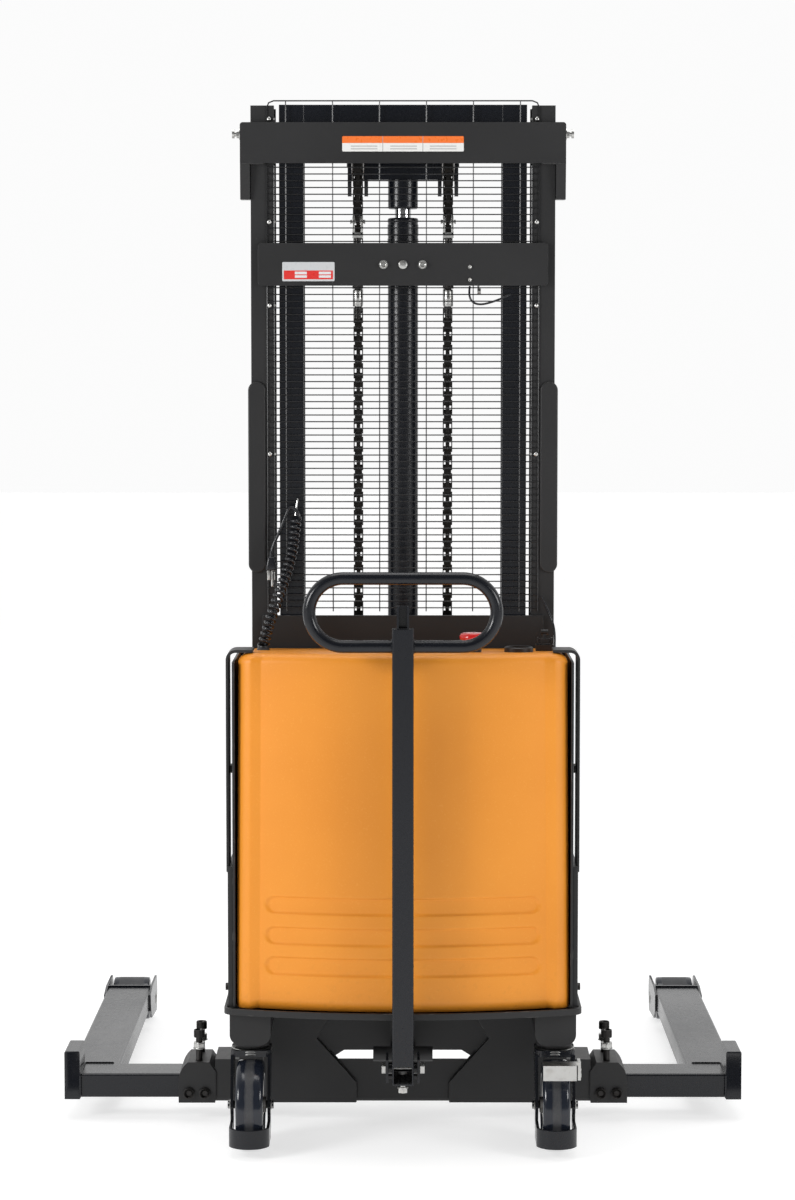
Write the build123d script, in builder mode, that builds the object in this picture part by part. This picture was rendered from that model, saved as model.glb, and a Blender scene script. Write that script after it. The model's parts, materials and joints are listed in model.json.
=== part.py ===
"""Walk-behind straddle stacker with a two-stage mast, in millimetres.

+X is the operator's right, +Y runs towards the fork tips, +Z is up. The origin is on the floor,
under the middle of the machine's bounding box. Left and right pieces mirror each other in X.
"""

import os
from math import cos, radians, sin, tan

from build123d import *

os.makedirs("parts", exist_ok=True)

# ---------------------------------------------------------------- driving dimensions
mast_rear = -443.0  # rear face of the outer mast
channel_depth = 110.0  # outer mast channel, along Y
flange = 12.0
outer_x = (264.0, 312.0)  # outer upright, from its open side to its back
inner_x = (204.0, 254.0)  # inner upright, an I section
inner_web = (226.0, 236.0)
mast_top = 2097.0
mast_y = mast_rear + channel_depth / 2  # centre plane of both mast sections
inner_gap = 6.0  # inner upright to outer upright, along Y
mesh_y = (mast_rear - 4.0, mast_rear - 0.5)
beam_y = (mast_rear - 17.0, mast_rear - 5.0)

roller_run = 0.3  # clearance of rollers, wheels and sliding tubes
pin_fit = 0.05  # radial clearance of a pin in its hole
axle_r = 12.0
outer_roller_r = 43.0 - roller_run
inner_roller_r = 37.0 - roller_run

cylinder_y = mast_rear + 59.0
barrel_r = 32.0
rod_r = 17.0
chain_x = (83.0, 103.0)
sheave_z = 1985.0
sheave_pitch_r = 35.0
chain_half = 7.0
near_chain_y = cylinder_y - sheave_pitch_r
far_chain_y = cylinder_y + sheave_pitch_r

tube_z = (47.0, 97.0)  # outrigger tube, 100 x 50
tube_y = (mast_rear - 33.0, mast_rear + 67.0)
tube_mid_z = (tube_z[0] + tube_z[1]) / 2
outrigger_end_x = 704.0
leg_x = (597.0, 697.0)
leg_mid_x = (leg_x[0] + leg_x[1]) / 2
leg_front = 440.0
load_wheel_y = 545.0
load_wheel_r = 50.0
load_wheel_x = (606.5, 691.5)
load_axle_r = 10.0

caster_x = 305.0
caster_y = -679.0
caster_trail = 40.0
wheel_r = 90.0
wheel_half = 27.0
caster_axle_r = 8.0
arm_z = (213.0, 277.0)

tray_z = (277.0, 290.0)
hood_top = 1002.0  # at its rear edge
hood_fall = 17.0  # how much lower the top is at the mast
hood_rear = -781.0  # at the middle; the rear face bulges
hood_edge = -724.0  # at its corners
hood_front = -462.0
hood_half = 333.0
hood_wall = 6.0

fork_length = 1067.0
fork_tip = 859.0
fork_front = fork_tip - fork_length  # front face of the fork's shank
fork_rear = fork_front - 30.0
fork_x = 280.0
fork_width = 100.0
bar_front = fork_rear - roller_run
bar_rear = bar_front - 32.0

tiller_y = (-859.0, -817.0)
tiller_half = 21.0
tiller_mid = -838.0
tilt_y = -790.0
tilt_z = 180.0
steer_y = -755.0
loop_z = 1089.0
loop_bend = 66.5
loop_straight = 116.0
loop_r = 12.5


def block(xs, ys, zs, mode=Mode.ADD):
    """Box between three pairs of limits."""
    with Locations(((xs[0] + xs[1]) / 2, (ys[0] + ys[1]) / 2, (zs[0] + zs[1]) / 2)):
        return Box(xs[1] - xs[0], ys[1] - ys[0], zs[1] - zs[0], mode=mode)


def round_x(radius, xs, y, z, mode=Mode.ADD):
    """Cylinder along X."""
    with Locations(Location(((xs[0] + xs[1]) / 2, y, z), (0, 90, 0))):
        return Cylinder(radius, xs[1] - xs[0], mode=mode)


def round_y(radius, x, ys, z, mode=Mode.ADD):
    """Cylinder along Y."""
    with Locations(Location((x, (ys[0] + ys[1]) / 2, z), (90, 0, 0))):
        return Cylinder(radius, ys[1] - ys[0], mode=mode)


def round_z(radius, x, y, zs, mode=Mode.ADD):
    """Cylinder along Z."""
    with Locations((x, y, (zs[0] + zs[1]) / 2)):
        return Cylinder(radius, zs[1] - zs[0], mode=mode)


def hex_z(across, x, y, zs, mode=Mode.ADD):
    """Hexagon nut or head along Z."""
    with Locations((x, y, (zs[0] + zs[1]) / 2)):
        return add(hexagon(across, zs[1] - zs[0]), mode=mode)


def hex_y(across, x, ys, z, mode=Mode.ADD):
    """Hexagon nut or head along Y."""
    with Locations(Location((x, (ys[0] + ys[1]) / 2, z), (90, 0, 0))):
        return add(hexagon(across, ys[1] - ys[0]), mode=mode)


def hex_x(across, xs, y, z, mode=Mode.ADD):
    """Hexagon nut or head along X."""
    with Locations(Location(((xs[0] + xs[1]) / 2, y, z), (0, 90, 0))):
        return add(hexagon(across, xs[1] - xs[0]), mode=mode)


def hexagon(across, height):
    """Hexagonal prism about the origin, across its flats."""
    reach = across / 2 / cos(radians(30))
    turns = [radians(60 * step) for step in range(6)]
    corners = [(reach * cos(turn), reach * sin(turn), -height / 2) for turn in turns]
    return Solid.extrude(Face(Wire.make_polygon(corners)), Vector(0, 0, height))


def bend_radii(points, share=0.45):
    """Tangent-arc radius at each corner of a route, from a share of the shorter run beside it."""
    radii = []
    for before, corner, after in zip(points, points[1:], points[2:]):
        run_in = Vector(*corner) - Vector(*before)
        run_out = Vector(*after) - Vector(*corner)
        half_turn = radians(run_in.get_angle(run_out)) / 2
        radii.append(share * min(run_in.length, run_out.length) / tan(half_turn))
    return radii


# ---------------------------------------------------------------- base frame
with BuildPart() as cross_member:
    block((-390, 390), (-486, -366), (41, 104))
    fillet(cross_member.edges().filter_by(Axis.X), 8)
    block((-390, 390), (-486, -478), (90, 130))
    block((-390, -255), (-478, -366), (90, 130))
    block((-40, 40), (-478, -350), (97.5, 130))
    block((255, 390), (-478, -366), (90, 130))
    block((-390, 390), (tube_y[0] - 0.3, tube_y[1] + 0.3), (tube_z[0] - 0.3, tube_z[1] + 0.3), Mode.SUBTRACT)
cross_member.part.label = "cross_member"
export_step(cross_member.part, "parts/cross_member.step")

clamp_y = (-490.0, -362.0)
jack_x = 424.0
jack_y = (-468.0, -384.0)
with BuildPart() as outrigger_clamps:
    with BuildSketch(Plane.XZ.offset(-clamp_y[1])):
        with BuildLine():
            Polyline((390, 106), (390, 39), (466, 39), (466, 82))
            ThreePointArc((466, 82), (461, 106), (447, 124))
            Polyline((447, 124), (402, 124), (390, 106))
        make_face()
    extrude(amount=clamp_y[1] - clamp_y[0])
    block((380, 470), (tube_y[0] - 0.3, tube_y[1] + 0.3), (tube_z[0] - 0.3, tube_z[1] + 0.3), Mode.SUBTRACT)
    for y in jack_y:
        round_z(7.5, jack_x, y, (96, 130), Mode.SUBTRACT)
    for x in (411, 444):
        round_y(6.5, x, (clamp_y[0] - 1, tube_y[0]), 60, Mode.SUBTRACT)
    mirror(about=Plane.YZ)
outrigger_clamps.part.label = "outrigger_clamps"
export_step(outrigger_clamps.part, "parts/outrigger_clamps.step")

with BuildPart() as clamp_screws:
    for y in jack_y:
        round_z(7.3, jack_x, y, (tube_z[1] + 0.4, 174))
        round_z(11, jack_x, y, (173, 190))
        hex_z(10, jack_x, y, (182, 192), Mode.SUBTRACT)
        hex_z(22, jack_x, y, (151, 163))
    for x in (411, 444):
        round_y(6.3, x, (clamp_y[0] - 1, tube_y[0] - 0.4), 60)
        round_y(11.5, x, (clamp_y[0] - 9, clamp_y[0]), 60)
        hex_y(10, x, (clamp_y[0] - 11, clamp_y[0] - 3), 60, Mode.SUBTRACT)
    mirror(about=Plane.YZ)
clamp_screws.part.label = "clamp_screws"
export_step(clamp_screws.part, "parts/clamp_screws.step")

with BuildPart() as frame_side_plates:
    with BuildSketch(Plane.XZ.offset(486)):
        with BuildLine():
            Polyline((290, 41), (96, 41), (96, 84), (178, 176), (150, 225), (290, 225), (290, 41))
        make_face()
    extrude(amount=10)
    with BuildSketch(Plane.XZ.offset(478)):
        with BuildLine():
            Polyline((0, 149.5), (122, 149.5), (148, 133), (255, 133), (255, 276.7), (0, 276.7), (0, 149.5))
        make_face()
    extrude(amount=8)
    mirror(about=Plane.YZ)
frame_side_plates.part.label = "frame_side_plates"
export_step(frame_side_plates.part, "parts/frame_side_plates.step")

with BuildPart() as caster_arms:
    block((264, 346), (-735, -443), arm_z)
    fillet(caster_arms.edges().filter_by(Axis.Y).group_by(Axis.Z)[0], 22)
    round_z(37, caster_x, caster_y, (199, arm_z[0] + 26))
    fillet(caster_arms.faces().sort_by(Axis.Z)[0].edges(), 9)
    block((262, 340), (-486, -443), (130, arm_z[1]))
    block((342, 350), (-600, -520), (193, arm_z[1]))
    block((200, 290.3), (-496.3, -486), (200, 225.3), Mode.SUBTRACT)
    mirror(about=Plane.YZ)
caster_arms.part.label = "caster_arms"
export_step(caster_arms.part, "parts/caster_arms.step")

# ---------------------------------------------------------------- tray, hood and what they hold
with BuildPart() as battery_tray:
    with BuildSketch(Plane.XY.offset(tray_z[0])):
        with BuildLine():
            Polyline((-357, -742), (-357, mast_rear - 4), (357, mast_rear - 4), (357, -742))
            ThreePointArc((357, -742), (0, -799), (-357, -742))
        make_face()
        fillet(vertices().group_by(Axis.Y)[0], 24)
    extrude(amount=tray_z[1] - tray_z[0])
    with BuildSketch(Plane.XY.offset(tray_z[0] + 4)):
        with BuildLine():
            Polyline((-351, -738), (-351, mast_rear - 10), (351, mast_rear - 10), (351, -738))
            ThreePointArc((351, -738), (0, -793), (-351, -738))
        make_face()
        fillet(vertices().group_by(Axis.Y)[0], 20)
    extrude(amount=tray_z[1], mode=Mode.SUBTRACT)
battery_tray.part.label = "battery_tray"
export_step(battery_tray.part, "parts/battery_tray.step")


def hood_form(inset, top, front):
    """Closed form of the hood: bulged rear face, sides leaning in, top falling towards the mast."""
    half = hood_half - inset
    edge = hood_edge + inset
    with BuildPart() as form:
        with BuildSketch(Plane.XY.offset(tray_z[1])):
            with BuildLine():
                ThreePointArc((-half, edge), (0, hood_rear + inset), (half, edge))
                Polyline((half, edge), (half, front), (-half, front), (-half, edge))
            make_face()
            fillet(vertices().group_by(Axis.Y)[0], 34 - inset)
        extrude(amount=top - tray_z[1], taper=0.45)
        with BuildSketch(Plane.YZ.offset(-half - 1)):
            fall = hood_fall / (hood_front - hood_rear)
            with BuildLine():
                Polyline(
                    (hood_rear, top),
                    (front + 10, top - fall * (front + 10 - hood_rear)),
                    (front + 10, top + 5),
                    (hood_rear, top + 5),
                    (hood_rear, top),
                )
            make_face()
        extrude(amount=2 * half + 2, mode=Mode.SUBTRACT)
        rim = form.faces().sort_by(Axis.Z)[-1].edges().filter_by(lambda e: e.center().Y < front - 1)
        fillet(rim, 20 - inset)
    return form.part


with BuildPart() as hood_grooves:
    for low, high in ((481, 517), (419, 456), (358, 396)):
        with BuildSketch(Plane.XZ.offset(650)):
            with Locations((0, (low + high) / 2)):
                SlotOverall(548, high - low)
        extrude(amount=150)
    add(hood_form(3.0, hood_top, hood_front), mode=Mode.SUBTRACT)

with BuildPart() as hood:
    add(hood_form(0.0, hood_top, hood_front))
    add(hood_form(hood_wall, hood_top - hood_wall, hood_front + 1), mode=Mode.SUBTRACT)
    add(hood_grooves.part, mode=Mode.SUBTRACT)
hood.part.label = "hood"
export_step(hood.part, "parts/hood.step")

with BuildPart() as inner_panel:
    for side in (-1, 1):
        block(sorted((side * 334, side * 339)), (-735, -452), (tray_z[1] + 1, 982))
    block((-339, 339), (-456, -452), (tray_z[1] + 1, 982))
    round_y(9, 100, (-460, -450), 340, Mode.SUBTRACT)
inner_panel.part.label = "inner_panel"
export_step(inner_panel.part, "parts/inner_panel.step")

guard_y = (-718.0, -650.0)
with BuildPart() as side_guards:
    with BuildSketch(Plane.XZ.offset(-guard_y[1])):
        with BuildLine():
            Polyline((298, 999), (298, 1005), (332, 1005))
            JernArc((332, 1005), (1, 0), 20, -90)
            Polyline((352, 985), (352, 560), (346, 560), (346, 985))
            JernArc((346, 985), (0, 1), 14, 90)
            Line((332, 999), (298, 999))
        make_face()
    extrude(amount=guard_y[1] - guard_y[0])
    block((339, 346.5), (-700, -668), (757, 772))
    block((339, 349), (-730, -560), (tray_z[1] + 0.3, 572))
    mirror(about=Plane.YZ)
side_guards.part.label = "side_guards"
export_step(side_guards.part, "parts/side_guards.step")

with BuildPart() as battery:
    block((-300, -30), (-690, -480), (tray_z[0] + 4, 490))
    block((-304, -26), (-694, -476), (470, 500))
    for x in (-250, -80):
        round_z(9, x, -640, (500, 518))
    fillet(battery.edges().filter_by(Axis.Z).sort_by(SortBy.LENGTH)[-4:], 6)
battery.part.label = "battery"
export_step(battery.part, "parts/battery.step")

with BuildPart() as charger:
    block((-290, -40), (-700, -600), (560, 720))
    for step in range(8):
        block((-280 + 30 * step, -274 + 30 * step), (-712, -700), (570, 710))
    block((-290, -270), (-700, -460), (500.3, 560))
charger.part.label = "charger"
export_step(charger.part, "parts/charger.step")

with BuildPart() as power_unit:
    round_z(57, 110, -590, (430, 640))
    block((50, 290), (-660, -520), (330, 430))
    round_z(9, 95, -560, (tray_z[0] + 4, 330))
    block((180, 300), (-670, -500), (430, 700))
    round_y(7, 100, (-520, -500), 340)
power_unit.part.label = "power_unit"
export_step(power_unit.part, "parts/power_unit.step")

pipe_route = [(100, -500, 340), (100, cylinder_y, 340), (barrel_r, cylinder_y, 340)]
with BuildPart() as hydraulic_pipe:
    with BuildLine():
        FilletPolyline(*pipe_route, radius=24)
    with BuildSketch(Plane(origin=pipe_route[0], z_dir=(0, 1, 0))):
        Circle(5)
    sweep()
hydraulic_pipe.part.label = "hydraulic_pipe"
export_step(hydraulic_pipe.part, "parts/hydraulic_pipe.step")

# ---------------------------------------------------------------- outer mast
outer_front = mast_rear + channel_depth
with BuildPart() as outer_uprights:
    block(outer_x, (mast_rear, outer_front), (130, mast_top))
    block(
        (outer_x[0] - 1, outer_x[1] - 10),
        (mast_rear + flange, outer_front - flange),
        (129, mast_top + 1),
        Mode.SUBTRACT,
    )
    round_x(axle_r, (inner_web[1] + 2, outer_x[1] - 5), mast_y, 2045)
    mirror(about=Plane.YZ)
outer_uprights.part.label = "outer_uprights"
export_step(outer_uprights.part, "parts/outer_uprights.step")

with BuildPart() as outer_mast_rollers:
    round_x(inner_roller_r, (inner_web[1] + 3, inner_x[1]), mast_y, 2045)
    fillet(outer_mast_rollers.edges(), 2)
    round_x(axle_r + pin_fit, (inner_web[1], inner_x[1] + 1), mast_y, 2045, Mode.SUBTRACT)
    mirror(about=Plane.YZ)
outer_mast_rollers.part.label = "outer_mast_rollers"
export_step(outer_mast_rollers.part, "parts/outer_mast_rollers.step")

with BuildPart() as top_beam:
    block((-333, 333), beam_y, (1979, 2062))
    for side in (-1, 1):
        block(sorted((side * 283, side * 333)), (beam_y[1], mast_rear), (1979, 2062))
        with BuildSketch(Plane.YZ.offset(side * 313 if side > 0 else -333)):
            with BuildLine():
                Polyline(
                    (beam_y[0], 2062),
                    (beam_y[0], 1990),
                    (beam_y[0] + 10, 1906),
                    (-410, 1906),
                    (-392, 1930),
                    (-392, 2062),
                    (beam_y[0], 2062),
                )
            make_face()
        extrude(amount=20)
    fillet(top_beam.edges().filter_by(Axis.Y).group_by(Axis.Z)[-1], 6)
top_beam.part.label = "top_beam"
export_step(top_beam.part, "parts/top_beam.step")

anchor_x = (chain_x[0] + chain_x[1]) / 2
with BuildPart() as mid_beam:
    block((-296, 296), beam_y, (1730, 1817))
    fillet(mid_beam.edges().filter_by(Axis.Y), 5)
    for side in (-1, 1):
        block(sorted((side * 283, side * 296)), (beam_y[1], mast_rear), (1735, 1812))
        block(sorted((side * 80, side * 106)), (beam_y[1], near_chain_y + 12), (1750, 1800))
        round_z(7.5, side * anchor_x, near_chain_y, (1740, 1810), Mode.SUBTRACT)
    block((-45, 45), (beam_y[1], cylinder_y), (1750, 1800))
    round_z(barrel_r, 0, cylinder_y, (1740, 1810), Mode.SUBTRACT)
    for x in (-40, 0, 40):
        round_y(5.5, x, (beam_y[0] - 1, beam_y[0] + 10), 1773, Mode.SUBTRACT)
mid_beam.part.label = "mid_beam"
export_step(mid_beam.part, "parts/mid_beam.step")

with BuildPart() as lower_beam:
    block((-290, 290), (mast_rear - 8, mast_rear), (962, 1052))
lower_beam.part.label = "lower_beam"
export_step(lower_beam.part, "parts/lower_beam.step")

with BuildPart() as mesh_guard:
    block((-281, 281), mesh_y, (1058, 2108))
    block((-284, 284), (mesh_y[0] - 0.1, mesh_y[1] + 0.1), (1731, 1816), Mode.SUBTRACT)
    fillet(mesh_guard.edges().filter_by(Axis.Y).group_by(Axis.Z)[-1], 20)
mesh_guard.part.label = "mesh_guard"
export_step(mesh_guard.part, "parts/mesh_guard.step")

with BuildPart() as side_handles:
    with BuildSketch(Plane.XZ.offset(-mast_rear)):
        with Locations((300.5, 1337)):
            SlotOverall(394, 36, rotation=90)
    extrude(amount=7)
    fillet(side_handles.faces().sort_by(Axis.Y)[0].edges(), 3)
    mirror(about=Plane.YZ)
side_handles.part.label = "side_handles"
export_step(side_handles.part, "parts/side_handles.step")

barrel_top = 1871.0
with BuildPart() as cylinder_barrel:
    round_z(barrel_r, 0, cylinder_y, (130, barrel_top))
    fillet(cylinder_barrel.edges().sort_by(Axis.Z)[-1], 3)
    round_z(25, 0, cylinder_y, (160, barrel_top - 20), Mode.SUBTRACT)
    round_z(rod_r + pin_fit, 0, cylinder_y, (barrel_top - 21, barrel_top + 1), Mode.SUBTRACT)
cylinder_barrel.part.label = "cylinder_barrel"
export_step(cylinder_barrel.part, "parts/cylinder_barrel.step")

with BuildPart() as chain_anchors:
    round_z(7.3, anchor_x, near_chain_y, (1664, 1830))
    block((anchor_x - 11, anchor_x + 11), (near_chain_y - 9, near_chain_y + 9), (1828, 1874))
    block((anchor_x - 6, anchor_x + 6), (near_chain_y - 10, near_chain_y + 10), (1848, 1875), Mode.SUBTRACT)
    round_x(4, (anchor_x - 16, anchor_x + 16), near_chain_y, 1862)
    hex_z(22, anchor_x, near_chain_y, (1800.2, 1810))
    hex_z(22, anchor_x, near_chain_y, (1738, 1749.8))
    hex_z(22, anchor_x, near_chain_y, (1724, 1736))
    round_z(10.5, anchor_x, near_chain_y, (1688, 1722))
    mirror(about=Plane.YZ)
chain_anchors.part.label = "chain_anchors"
export_step(chain_anchors.part, "parts/chain_anchors.step")

chain_near = (near_chain_y - chain_half, near_chain_y + chain_half)
chain_far = (far_chain_y - chain_half, far_chain_y + chain_half)
with BuildPart() as anchor_chains:
    block(chain_x, chain_near, (1875, sheave_z))
    mirror(about=Plane.YZ)
anchor_chains.part.label = "anchor_chains"
export_step(anchor_chains.part, "parts/anchor_chains.step")

hook_route = [(-217, mesh_y[0], 1293), (-217, -463, 1293), (-221, -465, 1259)]
with BuildPart() as frame_bolts:
    for x, z in ((-40, 1773), (40, 1773), (0, 1773)):
        round_y(9, x, (beam_y[0] - 8, beam_y[0]), z)
        round_y(5.2, x, (beam_y[0] - 4, beam_y[0] + 9), z)
        hex_y(8, x, (beam_y[0] - 9, beam_y[0] - 4), z, Mode.SUBTRACT)
    for z in (1768, 1742):
        round_y(4, 137, (beam_y[0] - 3, beam_y[0]), z)
    for side in (-1, 1):
        round_x(13, sorted((side * 333, side * 336)), -430, 2040)
        hex_x(17, sorted((side * 336, side * 350)), -430, 2040)
        for z in (1385, 1690, 1860):
            round_y(5, side * 274, (mesh_y[0] - 3, mesh_y[0]), z)
        hex_x(13, sorted((side * 349, side * 361)), -600, 306)
        hex_x(13, sorted((side * 349, side * 354)), -600, 552)
    hex_z(17, 0, steer_y, (123, 134))
    round_z(11, 0, steer_y, (134, 146.8))
    round_z(6, 0, steer_y, (146.8, 160))
    hex_z(17, 0, steer_y, (159.3, 168))
    with BuildLine():
        FilletPolyline(*hook_route, radius=5)
    with BuildSketch(Plane(origin=hook_route[0], z_dir=(0, -1, 0))):
        Circle(2)
    sweep()
frame_bolts.part.label = "frame_bolts"
export_step(frame_bolts.part, "parts/frame_bolts.step")

# ---------------------------------------------------------------- inner mast with rod and crosshead
inner_y = (mast_rear + inner_gap, outer_front - inner_gap)
inner_bottom = 135.0
with BuildPart() as inner_uprights:
    block(inner_x, inner_y, (inner_bottom, mast_top + 2))
    pocket_y = (inner_y[0] + flange, inner_y[1] - flange)
    block((inner_x[0] - 1, inner_web[0]), pocket_y, (inner_bottom - 1, mast_top + 3), Mode.SUBTRACT)
    block((inner_web[1], inner_x[1] + 1), pocket_y, (inner_bottom - 1, mast_top + 3), Mode.SUBTRACT)
    round_x(axle_r, (inner_web[0] + 2, outer_x[1] - 11), mast_y, 178)
    mirror(about=Plane.YZ)
inner_uprights.part.label = "inner_uprights"
export_step(inner_uprights.part, "parts/inner_uprights.step")

with BuildPart() as inner_mast_rollers:
    round_x(outer_roller_r, (outer_x[0] + 3, outer_x[1] - 12), mast_y, 178)
    fillet(inner_mast_rollers.edges(), 2)
    round_x(axle_r + pin_fit, (outer_x[0], outer_x[1]), mast_y, 178, Mode.SUBTRACT)
    mirror(about=Plane.YZ)
inner_mast_rollers.part.label = "inner_mast_rollers"
export_step(inner_mast_rollers.part, "parts/inner_mast_rollers.step")

with BuildPart() as inner_ties:
    block((-inner_x[0], inner_x[0]), inner_y, (2060, 2072))
    block((-inner_x[0], inner_x[0]), (inner_y[0], inner_y[0] + 8), (2040, mast_top + 2))
    block((-inner_x[0], inner_x[0]), (-350, inner_y[1]), (inner_bottom, 147))
inner_ties.part.label = "inner_ties"
export_step(inner_ties.part, "parts/inner_ties.step")

boss_bottom = 1889.0
beam_bottom = 1948.0
with BuildPart() as crosshead:
    block((-78, 78), (cylinder_y - 20, cylinder_y + 20), (beam_bottom, 1990))
    block((-60, 60), (cylinder_y - 20, cylinder_y + 20), (1990, 2060))
    round_z(31, 0, cylinder_y, (boss_bottom, beam_bottom))
    fillet(crosshead.edges().filter_by(GeomType.CIRCLE).sort_by(Axis.Z)[0], 4)
    for side in (-1, 1):
        for low, high in ((72, 79.7), (106.3, 114)):
            with BuildSketch(Plane.YZ.offset(min(side * low, side * high))):
                with BuildLine():
                    Polyline(
                        (cylinder_y - 20, 2040),
                        (cylinder_y - 20, 1945),
                        (cylinder_y - 9, 1915),
                        (cylinder_y + 9, 1915),
                        (cylinder_y + 20, 1945),
                        (cylinder_y + 20, 2040),
                        (cylinder_y - 20, 2040),
                    )
                make_face()
            extrude(amount=high - low)
        block(sorted((side * 72, side * 114)), (cylinder_y - 20, cylinder_y + 20), (2030, 2040))
        round_x(10, sorted((side * 70, side * 116)), cylinder_y, sheave_z)
crosshead.part.label = "crosshead"
export_step(crosshead.part, "parts/crosshead.step")

with BuildPart() as chain_sheaves:
    round_x(38, (80, 106), cylinder_y, sheave_z)
    round_x(39, (chain_x[0] - 0.3, chain_x[1] + 0.3), cylinder_y, sheave_z, Mode.SUBTRACT)
    round_x(sheave_pitch_r - chain_half - 0.3, (81, 105), cylinder_y, sheave_z)
    round_x(10 + pin_fit, (79, 107), cylinder_y, sheave_z, Mode.SUBTRACT)
    mirror(about=Plane.YZ)
chain_sheaves.part.label = "chain_sheaves"
export_step(chain_sheaves.part, "parts/chain_sheaves.step")

with BuildPart() as chain_wraps:
    round_x(sheave_pitch_r + chain_half, chain_x, cylinder_y, sheave_z)
    round_x(sheave_pitch_r - chain_half, (80, 106), cylinder_y, sheave_z, Mode.SUBTRACT)
    block((80, 106), (cylinder_y - 50, cylinder_y + 50), (sheave_z - 50, sheave_z), Mode.SUBTRACT)
    mirror(about=Plane.YZ)
chain_wraps.part.label = "chain_wraps"
export_step(chain_wraps.part, "parts/chain_wraps.step")

with BuildPart() as cylinder_rod:
    round_z(rod_r, 0, cylinder_y, (300, boss_bottom))
    round_z(24.9, 0, cylinder_y, (290, 330))
cylinder_rod.part.label = "cylinder_rod"
export_step(cylinder_rod.part, "parts/cylinder_rod.step")

# ---------------------------------------------------------------- carriage and forks
chain_foot = 300.0
carriage_roller_z = {"lower": 226.0, "upper": 415.0}
with BuildPart() as carriage_frame:
    block((-330, 330), (bar_rear, bar_front), (150, 210))
    block((-330, 330), (bar_rear, bar_front), (430, 490))
    for side in (-1, 1):
        plate_x = sorted((side * 190, side * 202))
        block(plate_x, (-420, bar_rear), (176, 463))
        block(plate_x, (bar_rear - 1, bar_front - 6), (205, 435))
        for z in carriage_roller_z.values():
            round_x(axle_r, sorted((side * 195, side * (inner_web[0] - 1))), mast_y, z)
    block((-195, 195), (-350.4, -330), (chain_foot - 18, chain_foot))
    for x in (-60, 60):
        block((x - 6, x + 6), (-331, bar_front - 6), (176, 463))
carriage_frame.part.label = "carriage_frame"
export_step(carriage_frame.part, "parts/carriage_frame.step")

for place, z in carriage_roller_z.items():
    with BuildPart() as carriage_rollers:
        round_x(inner_roller_r, (inner_x[0] + 1, inner_web[0] - 2), mast_y, z)
        fillet(carriage_rollers.edges(), 2)
        round_x(axle_r + pin_fit, (inner_x[0], inner_web[0]), mast_y, z, Mode.SUBTRACT)
        mirror(about=Plane.YZ)
    carriage_rollers.part.label = f"carriage_rollers_{place}"
    export_step(carriage_rollers.part, f"parts/carriage_rollers_{place}.step")

with BuildPart() as carriage_chains:
    block(chain_x, chain_far, (chain_foot, sheave_z))
    mirror(about=Plane.YZ)
carriage_chains.part.label = "carriage_chains"
export_step(carriage_chains.part, "parts/carriage_chains.step")

for side, hand in ((-1, "left"), (1, "right")):
    fork_limits = (side * fork_x - fork_width / 2, side * fork_x + fork_width / 2)
    with BuildPart() as fork:
        with BuildSketch(Plane.YZ.offset(fork_limits[0])):
            with BuildLine():
                Polyline(
                    (fork_rear, 62),
                    (fork_rear, 490.3),
                    (bar_rear - 0.3, 490.3),
                    (bar_rear - 0.3, 472),
                    (bar_rear - 10, 472),
                    (bar_rear - 10, 508),
                    (fork_front, 508),
                    (fork_front, 85),
                    (fork_tip, 85),
                    (fork_tip, 76),
                    (700, 50),
                    (fork_rear + 12, 50),
                    (fork_rear, 62),
                )
            make_face()
        extrude(amount=fork_width)
        block(fork_limits, (bar_rear - 10, fork_rear), (131, 149.7))
        block(fork_limits, (bar_rear - 10, bar_rear - 0.3), (131, 160))
        tip_edges = fork.edges().filter_by(Axis.Z).group_by(Axis.Y)[-1]
        fillet(tip_edges, 30)
    fork.part.label = f"fork_{hand}"
    export_step(fork.part, f"parts/fork_{hand}.step")

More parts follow.
